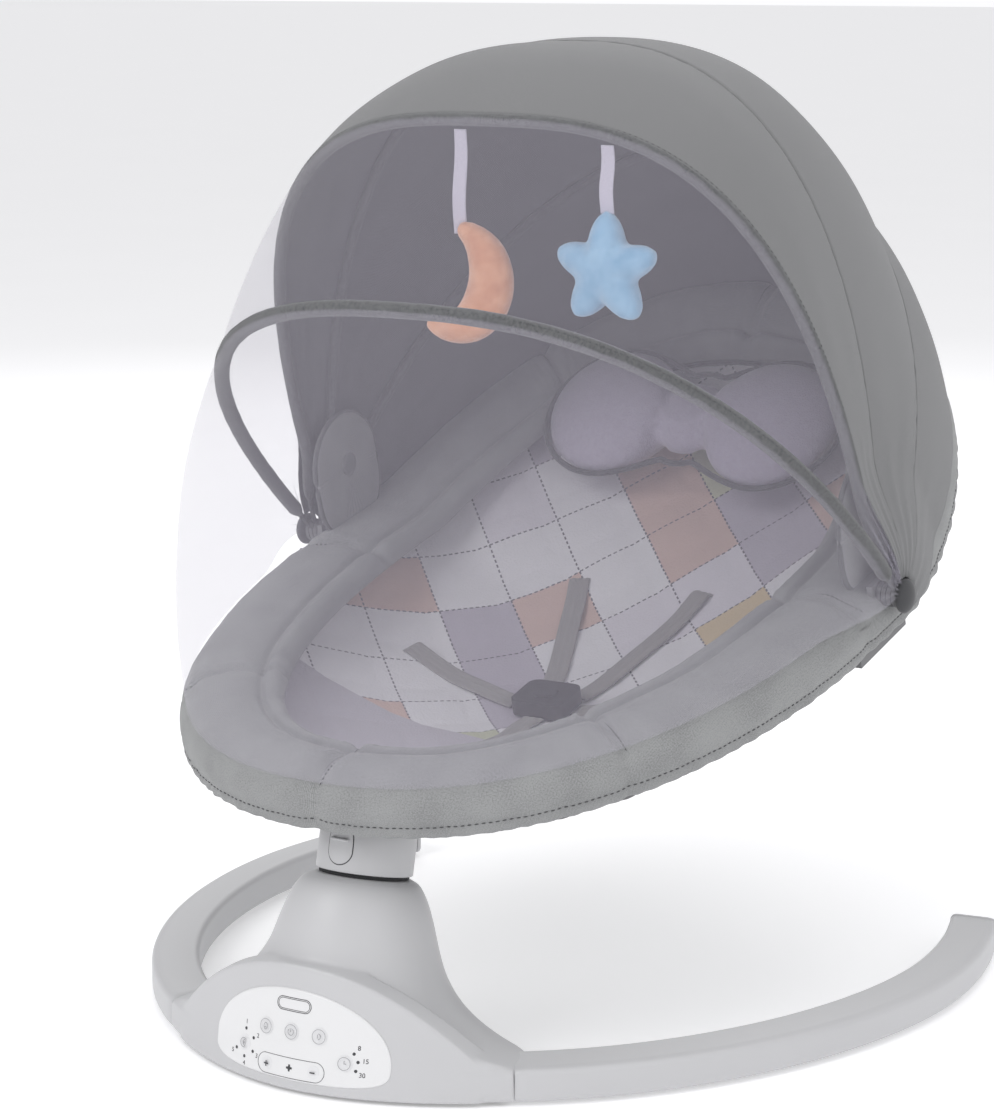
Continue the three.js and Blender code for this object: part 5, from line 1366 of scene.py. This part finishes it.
def fan_cloth(name, first, second, material, body, rows, bulge, gaps, thick, crumple, pleat, inner_shade=None):
    """A sheet of cloth between two arched edges, puckered along its seams and near the hubs."""
    def at(u, v):
        i = round(u * (STATIONS - 1))
        _, reach = cloth_point(first, second, i, v, CLOTH_OFFSET, bulge, gaps)
        hub = 1 - eased(0.030, 0.150, reach)
        seam = min(v, 1 - v)
        edge = math.exp(-(seam * rows / 5) ** 2)
        pucker = noise.noise(Vector((i * 0.55, v * 5, len(name)))) * 0.0004 * edge
        slack = noise.noise(Vector((i * 0.06, v * 2.4, len(name) * 3))) * crumple * math.sin(math.pi * v)
        folds = math.sin(v * math.pi * 6 + 1.5 * math.sin(i * 0.2)) * pleat * hub * math.sin(math.pi * v)
        return cloth_point(first, second, i, v, CLOTH_OFFSET + pucker + slack + folds, bulge, gaps)[0]

    bm = grid_piece(STATIONS - 1, rows, at, (1.05, 0.30))
    middle = bm.faces[:][len(bm.faces) // 2]
    if middle.normal.dot(middle.calc_center_median() - HINGE) < 0:
        bmesh.ops.reverse_faces(bm, faces=bm.faces[:])
    bmesh.ops.solidify(bm, geom=bm.faces[:], thickness=thick)
    piece = mesh_piece(name, bm, material, body)
    # Faces that look in towards the hinge get the darker inner material: painted shade.
    if inner_shade is not None:
        piece.data.materials.append(inner_shade)
        for face in piece.data.polygons:
            out = face.center - HINGE
            face.material_index = 0 if face.normal.dot(out) > 0 else 1
    return piece


rear_edge, middle_edge = bow_edge(REAR_BOW), bow_edge(MIDDLE_BOW)
front_edge, net_edge = bow_edge(FRONT_BOW), bow_edge(NET_BOW)
head_edge, foot_edge = rim_edge(-1, -0.0125, -0.0034), rim_edge(1, 0.003, -0.008)
MIDDLE_STATION = STATIONS // 2


def blended(piece, body_a, body_b, edge_a, edge_b):
    """Bakes the cloth's place into its mesh; the two points it works out between the edges are not used."""
    a, _ = cloth_point(edge_a, edge_b, MIDDLE_STATION, 0, CLOTH_OFFSET, 0, (0, 0))
    b, _ = cloth_point(edge_a, edge_b, MIDDLE_STATION, 1, CLOTH_OFFSET, 0, (0, 0))
    tuple(a.lerp(b, 0.2))
    tuple(a.lerp(b, 0.8))
    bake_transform(piece)


PANELS = [
    ("front", front_edge, middle_edge, "middle_bow", "front_bow", SEAM_ANGLE, (0.90, 0.14), 0.085),
    ("middle", middle_edge, rear_edge, "rear_bow", "middle_bow", SEAM_ANGLE, (0.92, 0.26), 0.13),
    ("rear", rear_edge, head_edge, "seat", "rear_bow", 0.0, (0.92, 0.27), 0.092),
]
for which, first, second, still, moved, gap, flat, area in PANELS:
    panel = fan_cloth(f"canopy_{which}_cloth", first, second, canopy_cloth, None, 36, 0.008,
                      (0, gap * 0.1), 0.0009, 0.0012, 0.0003, painted_shade_inner_cloth)
    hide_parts(f"canopy_{which}_panel")
    blended(panel, still, moved, second, first)

# ---------------------------------------------------------------- insect net
# A sheer lilac-white knitted net closes the front. Its upper half is sewn to the canopy's front
# edge and its lower half hangs from the net bow to the rim, drawn into pleats near the hinges.


def netting(name, colour, alpha):
    material, tree, base = plain_material(
        name, colour, 0.7, Alpha=alpha, Sheen_Weight=0.4, Specular_IOR_Level=0.1
    )
    place = node(tree, "TexCoord")
    cells = node(tree, "TexVoronoi", Scale=900.0)
    link(tree, place.outputs["UV"], cells.inputs["Vector"])
    tone = two_tone(tree, (*colour, 1), (*[c * 0.8 for c in colour], 1))
    link(tree, cells.outputs["Distance"], tone.inputs["Fac"])
    link(tree, tone.outputs["Color"], base.inputs["Base Color"])
    return material


net_cloth = netting("sheer_lilac_net", (0.66, 0.63, 0.73), 0.12)
upper = fan_cloth(
    "upper_net_cloth", net_edge, front_edge, net_cloth, None, 44, 0, (0, 0), 0.0006, 0.0014, 0.0018
)
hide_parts("upper_net")
blended(upper, "front_bow", "net_bow", front_edge, net_edge)
lower = fan_cloth(
    "lower_net_cloth", foot_edge, net_edge, net_cloth, "net_bow", 70, 0, (0, 0), 0.0006, 0.0018, 0.0018
)
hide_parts("lower_net")

# ---------------------------------------------------------------- padded pieces
# Head pillow, ear pads and toys are sewn covers stuffed with fibre. The pillow and the toys are
# swollen as cloth from a slightly smaller shape, and each is finished with a piping or a seam.


def inflated(piece, voxel, cap, pressure=4.0):
    """Blows a padded piece up as cloth, and keeps every point within cap of its start."""
    remeshed(piece, voxel, 3)
    begun = [vert.co.copy() for vert in piece.data.vertices]
    cloth = piece.modifiers.new("cloth", "CLOTH")
    cloth.settings.quality = 5
    cloth.settings.mass = 0.15
    cloth.settings.use_pressure = True
    cloth.settings.uniform_pressure_force = pressure
    cloth.settings.effector_weights.gravity = 0
    scene.frame_end = 20
    for step in range(1, 21):
        scene.frame_set(step)
    swollen = piece.evaluated_get(bpy.context.evaluated_depsgraph_get()).data
    ends = [vert.co.copy() for vert in swollen.vertices]
    piece.modifiers.remove(cloth)
    scene.frame_set(1)
    for vert, a, b in zip(piece.data.vertices, begun, ends):
        move = b - a
        vert.co = a + move * min(1, cap / max(move.length, 1e-9))
    finer = piece.modifiers.new("finer", "SUBSURF")
    finer.levels = finer.render_levels = 1
    applied(piece)
    for face in piece.data.polygons:
        face.use_smooth = True


def ellipsoid(x, semi):
    bm = bmesh.new()
    shape = Matrix.Translation((x, 0, 0)) @ Matrix.Diagonal((*semi, 1))
    bmesh.ops.create_uvsphere(bm, u_segments=40, v_segments=24, radius=1, matrix=shape)
    return bm


def knit(name, colour, pitch=0.0012):
    """A soft knit: small loops in the grain of the cloth, with no need of a UV layout."""
    material, tree, base = plain_material(
        name, colour, 0.95, Sheen_Weight=0.5, Sheen_Roughness=0.4, Specular_IOR_Level=0.15
    )
    place = node(tree, "TexCoord")
    loops = node(tree, "TexVoronoi", Scale=1 / pitch)
    fibre = node(tree, "TexNoise", Scale=350.0, Detail=4.0, Roughness=0.7)
    for texture in (loops, fibre):
        link(tree, place.outputs["Object"], texture.inputs["Vector"])
    tone = two_tone(tree, (*[c * 0.78 for c in colour], 1), (*[min(1, c * 1.12) for c in colour], 1))
    link(tree, fibre.outputs["Fac"], tone.inputs["Fac"])
    link(tree, tone.outputs["Color"], base.inputs["Base Color"])
    bumped(tree, base, loops.outputs["Distance"], 0.6, 0.0006)
    return material


lilac_knit = knit("lilac_knit", (0.46, 0.42, 0.52))
PILLOW_TILT = SEAT_LEAN + 0.56
PILLOW_LOBE = (0.056, 0.056, 0.025)
PILLOW_BRIDGE = (0.034, 0.038, 0.015)
PILLOW_LOBE_X = 0.064
pillow_frame = Matrix.Translation(in_seat((0, 0.160, 0.040))) @ Matrix.Rotation(PILLOW_TILT, 4, "X")
smaller = [[c - 0.003 for c in semi] for semi in (PILLOW_LOBE, PILLOW_LOBE, PILLOW_BRIDGE)]
balls = [ellipsoid(x, semi) for x, semi in zip((-PILLOW_LOBE_X, PILLOW_LOBE_X, 0), smaller)]
bm = joined("head_pillow_shape", balls)
bmesh.ops.transform(bm, matrix=pillow_frame, verts=bm.verts)
pillow = mesh_piece("head_pillow_cushion", bm, lilac_knit, "seat")
inflated(pillow, 0.0045, 0.006)
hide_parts("head_pillow")


def pillow_outline(angle):
    """The pillow's sewn edge: the further of its two lobes or its bridge along a ray."""
    c, s = math.cos(angle), math.sin(angle)
    best = 1 / math.hypot(c / PILLOW_BRIDGE[0], s / (PILLOW_BRIDGE[1] + 0.002))
    a, b = PILLOW_LOBE[0], PILLOW_LOBE[1]
    x = math.copysign(PILLOW_LOBE_X, c)
    quad = c * c / a ** 2 + s * s / b ** 2
    half = x * c / a ** 2
    inside = half * half - quad * (x * x / a ** 2 - 1)
    if inside > 0:
        best = max(best, (half + math.sqrt(inside)) / quad)
    return best


reach = [pillow_outline(2 * math.pi * k / 240) for k in range(240)]
reach = [sum(reach[(k + d) % 240] for d in range(-9, 10)) / 19 for k in range(240)]
path = []
for k, out in enumerate(reach):
    angle = 2 * math.pi * k / 240
    path.append(pillow_frame @ Vector((out * math.cos(angle) * 0.985, out * math.sin(angle) * 0.985, 0)))
mesh_piece("pillow_piping", closed_tube(path, 0.0022, 10), charcoal, "seat")

EAR_MIDDLE = 0.015
EAR_HALF = 0.037
EAR_LOW = 0.004
EAR_TOP = 0.084
EAR_IN, EAR_OUT = 0.1992, 0.2062


def ear_outline(turn):
    """A tongue with a round top, as (along, up) from the middle of its shoulder."""
    along, up = EAR_HALF * math.sin(turn), EAR_HALF * math.cos(turn)
    shoulder = EAR_TOP - EAR_HALF
    if up > 0:
        return along, up
    low = -(shoulder - EAR_LOW) * abs(math.cos(turn)) ** 0.6
    return EAR_HALF * signed_power(math.sin(turn), 0.4), low


for side, name in ((-1, "left"), (1, "right")):
    def ear_place(u, v, side=side):
        along, up = ear_outline(2 * math.pi * u)
        share = math.sin(math.pi * v) ** 0.8 if 0 < v < 1 else 0
        face = math.cos(math.pi * v)
        crown = (EAR_OUT - EAR_IN) / 2 * math.copysign(abs(face) ** 0.45, face)
        dent = 0.0022 * math.exp(-(share / 0.16) ** 2) if v < 0.5 else 0
        x = (EAR_IN + EAR_OUT) / 2 - crown + dent
        grain = noise.noise(Vector((along * 60 * share, up * 60 * share, side * 2))) * 0.0007
        return in_seat((side * (x + grain), EAR_MIDDLE + along * share, EAR_TOP - EAR_HALF + up * share))

    ear = mesh_piece(f"{name}_ear_cushion", grid_piece(72, 40, ear_place, (0.2, 0.08), 1e-5), linen, "seat")
    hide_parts(f"{name}_ear_pad")
    edge = [ear_outline(t) for t in spread(0, 2 * math.pi, 120)[:-1]]
    path = [in_seat((side * 0.2027, EAR_MIDDLE + a, EAR_TOP - EAR_HALF + b)) for a, b in edge]
    mesh_piece(f"{name}_ear_piping", closed_tube(path, 0.0019, 8), canopy_dark, "seat")
    ball = ellipsoid(0, (0.0022, 0.0085, 0.0085))
    bmesh.ops.translate(
        ball, vec=in_seat((side * (EAR_IN + 0.0004), EAR_MIDDLE, EAR_TOP - EAR_HALF)), verts=ball.verts
    )
    mesh_piece(f"{name}_ear_button", ball, linen, "seat")

# ---------------------------------------------------------------- harness
# Five straps of flat grey woven webbing lie on the liner and meet in a plastic buckle. Their
# free ends pass through slits in the liner.

webbing = woven("harness_webbing", (0.36, 0.35, 0.34), (0.22, 0.21, 0.205), 0.0012, 600, 0.8)
buckle_plastic = moulded("buckle_black", (0.03, 0.03, 0.032), 0.4, 1100, 0.15)
for node_name in ("harness_buckle", "buckle_button"):
    frame["nodes"][node_name].data.materials[0] = buckle_plastic
STRAP_HALF = 0.0075
STRAPS = [
    ("left_shoulder", (-0.052, 0.070), (-0.012, -0.055)), ("right_shoulder", (0.052, 0.070), (0.012, -0.055)),
    ("left_waist", (-0.128, -0.052), (-0.024, -0.076)), ("right_waist", (0.128, -0.052), (0.024, -0.076)),
    ("crotch", (0, -0.164), (0, -0.094)),
]
for name, start, end in STRAPS:
    a, b = Vector((*start, 0)), Vector((*end, 0))
    across = (b - a).normalized().cross(Vector((0, 0, 1))) * STRAP_HALF

    def strap_place(u, v, a=a, b=b, across=across):
        place = a.lerp(b, v) + across * (2 * u - 1)
        low = max(sling_top(*(a.lerp(b, v) + across * k).xy) for k in (-1, 0, 1))
        lift = 0.0104 - 0.0075 * (1 - eased(0, 0.10, v))
        lift += 0.0009 * math.sin(v * 9 + a.x * 40) * math.sin(math.pi * v)
        rib = 0.0002 * math.cos(2 * math.pi * 3 * (u - 0.5))
        return in_seat((place.x, place.y, low + lift + rib))

    bm = grid_piece(18, 90, strap_place, (2 * STRAP_HALF, (b - a).length))
    thickened(bm, 0.0013)
    strap = mesh_piece(f"{name}_webbing", bm, webbing, "seat")
    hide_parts(f"{name}_strap")

# ---------------------------------------------------------------- toys
# A peach moon and a light blue star in short plush hang from the canopy's front edge, each on a
# lilac satin ribbon. Both are stuffed and plain, with no face.


def plush(name, colour, deep):
    """Short plush: a soft nap that catches the light, mottled where it is brushed."""
    material, tree, base = plain_material(
        name, colour, 0.95, Sheen_Weight=0.8, Sheen_Roughness=0.35, Specular_IOR_Level=0.1
    )
    place = node(tree, "TexCoord")
    nap = node(tree, "TexNoise", Scale=1400.0, Detail=5.0, Roughness=0.8)
    brushed = node(tree, "TexNoise", Scale=90.0, Detail=3.0)
    for texture in (nap, brushed):
        link(tree, place.outputs["Object"], texture.inputs["Vector"])
    both = maths(tree, "MULTIPLY_ADD", nap.outputs["Fac"], 0.5, brushed.outputs["Fac"])
    tone = two_tone(tree, (*deep, 1), (*colour, 1), 0.45, 0.95)
    link(tree, both.outputs[0], tone.inputs["Fac"])
    link(tree, tone.outputs["Color"], base.inputs["Base Color"])
    bumped(tree, base, nap.outputs["Fac"], 0.8, 0.0008)
    return material


moon_plush = plush("peach_plush", (0.83, 0.42, 0.24), (0.62, 0.25, 0.12))
star_plush = plush("light_blue_plush", (0.36, 0.62, 0.85), (0.20, 0.44, 0.68))
ribbon_cloth = woven("lilac_ribbon", (0.60, 0.57, 0.66), (0.46, 0.43, 0.52), 0.0006, 700, 0.3, 0.4)
toy_joints = {
    j["name"]: Vector(j["pos_m"]) for j in frame["joints"] if j["name"] in ("moon_swing", "star_swing")
}
MOON_TOP = toy_joints["moon_swing"]
STAR_TOP = toy_joints["star_swing"]
MOON_RIBBON = 0.062
MOON_RADIUS = 0.034
STAR_RIBBON = 0.036
STAR_RADIUS = 0.042
STAR_THICK = 0.030


def ribbon(name, top, length, body):
    def at(u, v):
        sway = 0.0012 * math.sin(v * 7)
        twist = 0.25 * math.sin(v * 2.5)
        x = (u - 0.5) * 0.0088
        return top + Vector((x * math.cos(twist), sway + x * math.sin(twist), -0.001 - length * v))
    bm = grid_piece(8, 50, at, (0.009, length))
    thickened(bm, 0.0008)
    piece = mesh_piece(name, bm, ribbon_cloth, body)
    return piece


def moon_rings():
    rings = []
    for share in spread(0, 1, 30):
        angle = mixed(1.35, -2.1, share)
        width = 0.0145 * (0.12 + math.sin(math.pi * (0.1 + 0.82 * share)) ** 1.2)
        ring = []
        for k in range(24):
            turn = 2 * math.pi * k / 24
            reach = MOON_RADIUS - width * 0.2 + width * math.cos(turn)
            x = -MOON_RADIUS * math.cos(1.35) + reach * math.cos(angle)
            z = reach * math.sin(angle) - MOON_RADIUS * math.sin(1.35) - MOON_RIBBON
            ring.append(MOON_TOP + Vector((x, min(width, 0.0125) * math.sin(turn), z)))
        rings.append(ring)
    return rings


moon = mesh_piece("moon_plush_toy", swept(lambda row: row, 24, moon_rings()), moon_plush, "moon_toy")
inflated(moon, 0.0030, 0.0025)
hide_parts("moon_toy")
ribbon("moon_ribbon", MOON_TOP, MOON_RIBBON + 0.004, "moon_toy")


def star_reach(angle):
    """A five-pointed outline with round tips, as distance from its middle."""
    point = abs(((angle - math.pi / 2) / (2 * math.pi / 5) + 0.5) % 1 - 0.5) * 2
    return mixed(STAR_RADIUS - 0.004, STAR_RADIUS * 0.52, eased(0, 1, point) * 0.55 + 0.45 * point)


def star_place(u, v):
    angle = 2 * math.pi * u
    share = math.sin(math.pi * v) ** 0.9 if 0 < v < 1 else 0
    face = math.cos(math.pi * v)
    out = star_reach(angle) * share
    deep = (STAR_THICK / 2 - 0.002) * math.copysign(abs(face) ** 0.7, face)
    return STAR_TOP + Vector(
        (out * math.cos(angle), -deep, out * math.sin(angle) - STAR_RIBBON - STAR_RADIUS)
    )


star = mesh_piece("star_plush_toy", grid_piece(120, 40, star_place, (1, 1), 1e-5), star_plush, "star_toy")
inflated(star, 0.0030, 0.0022)
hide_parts("star_toy")
ribbon("star_ribbon", STAR_TOP, STAR_RIBBON + 0.006, "star_toy")
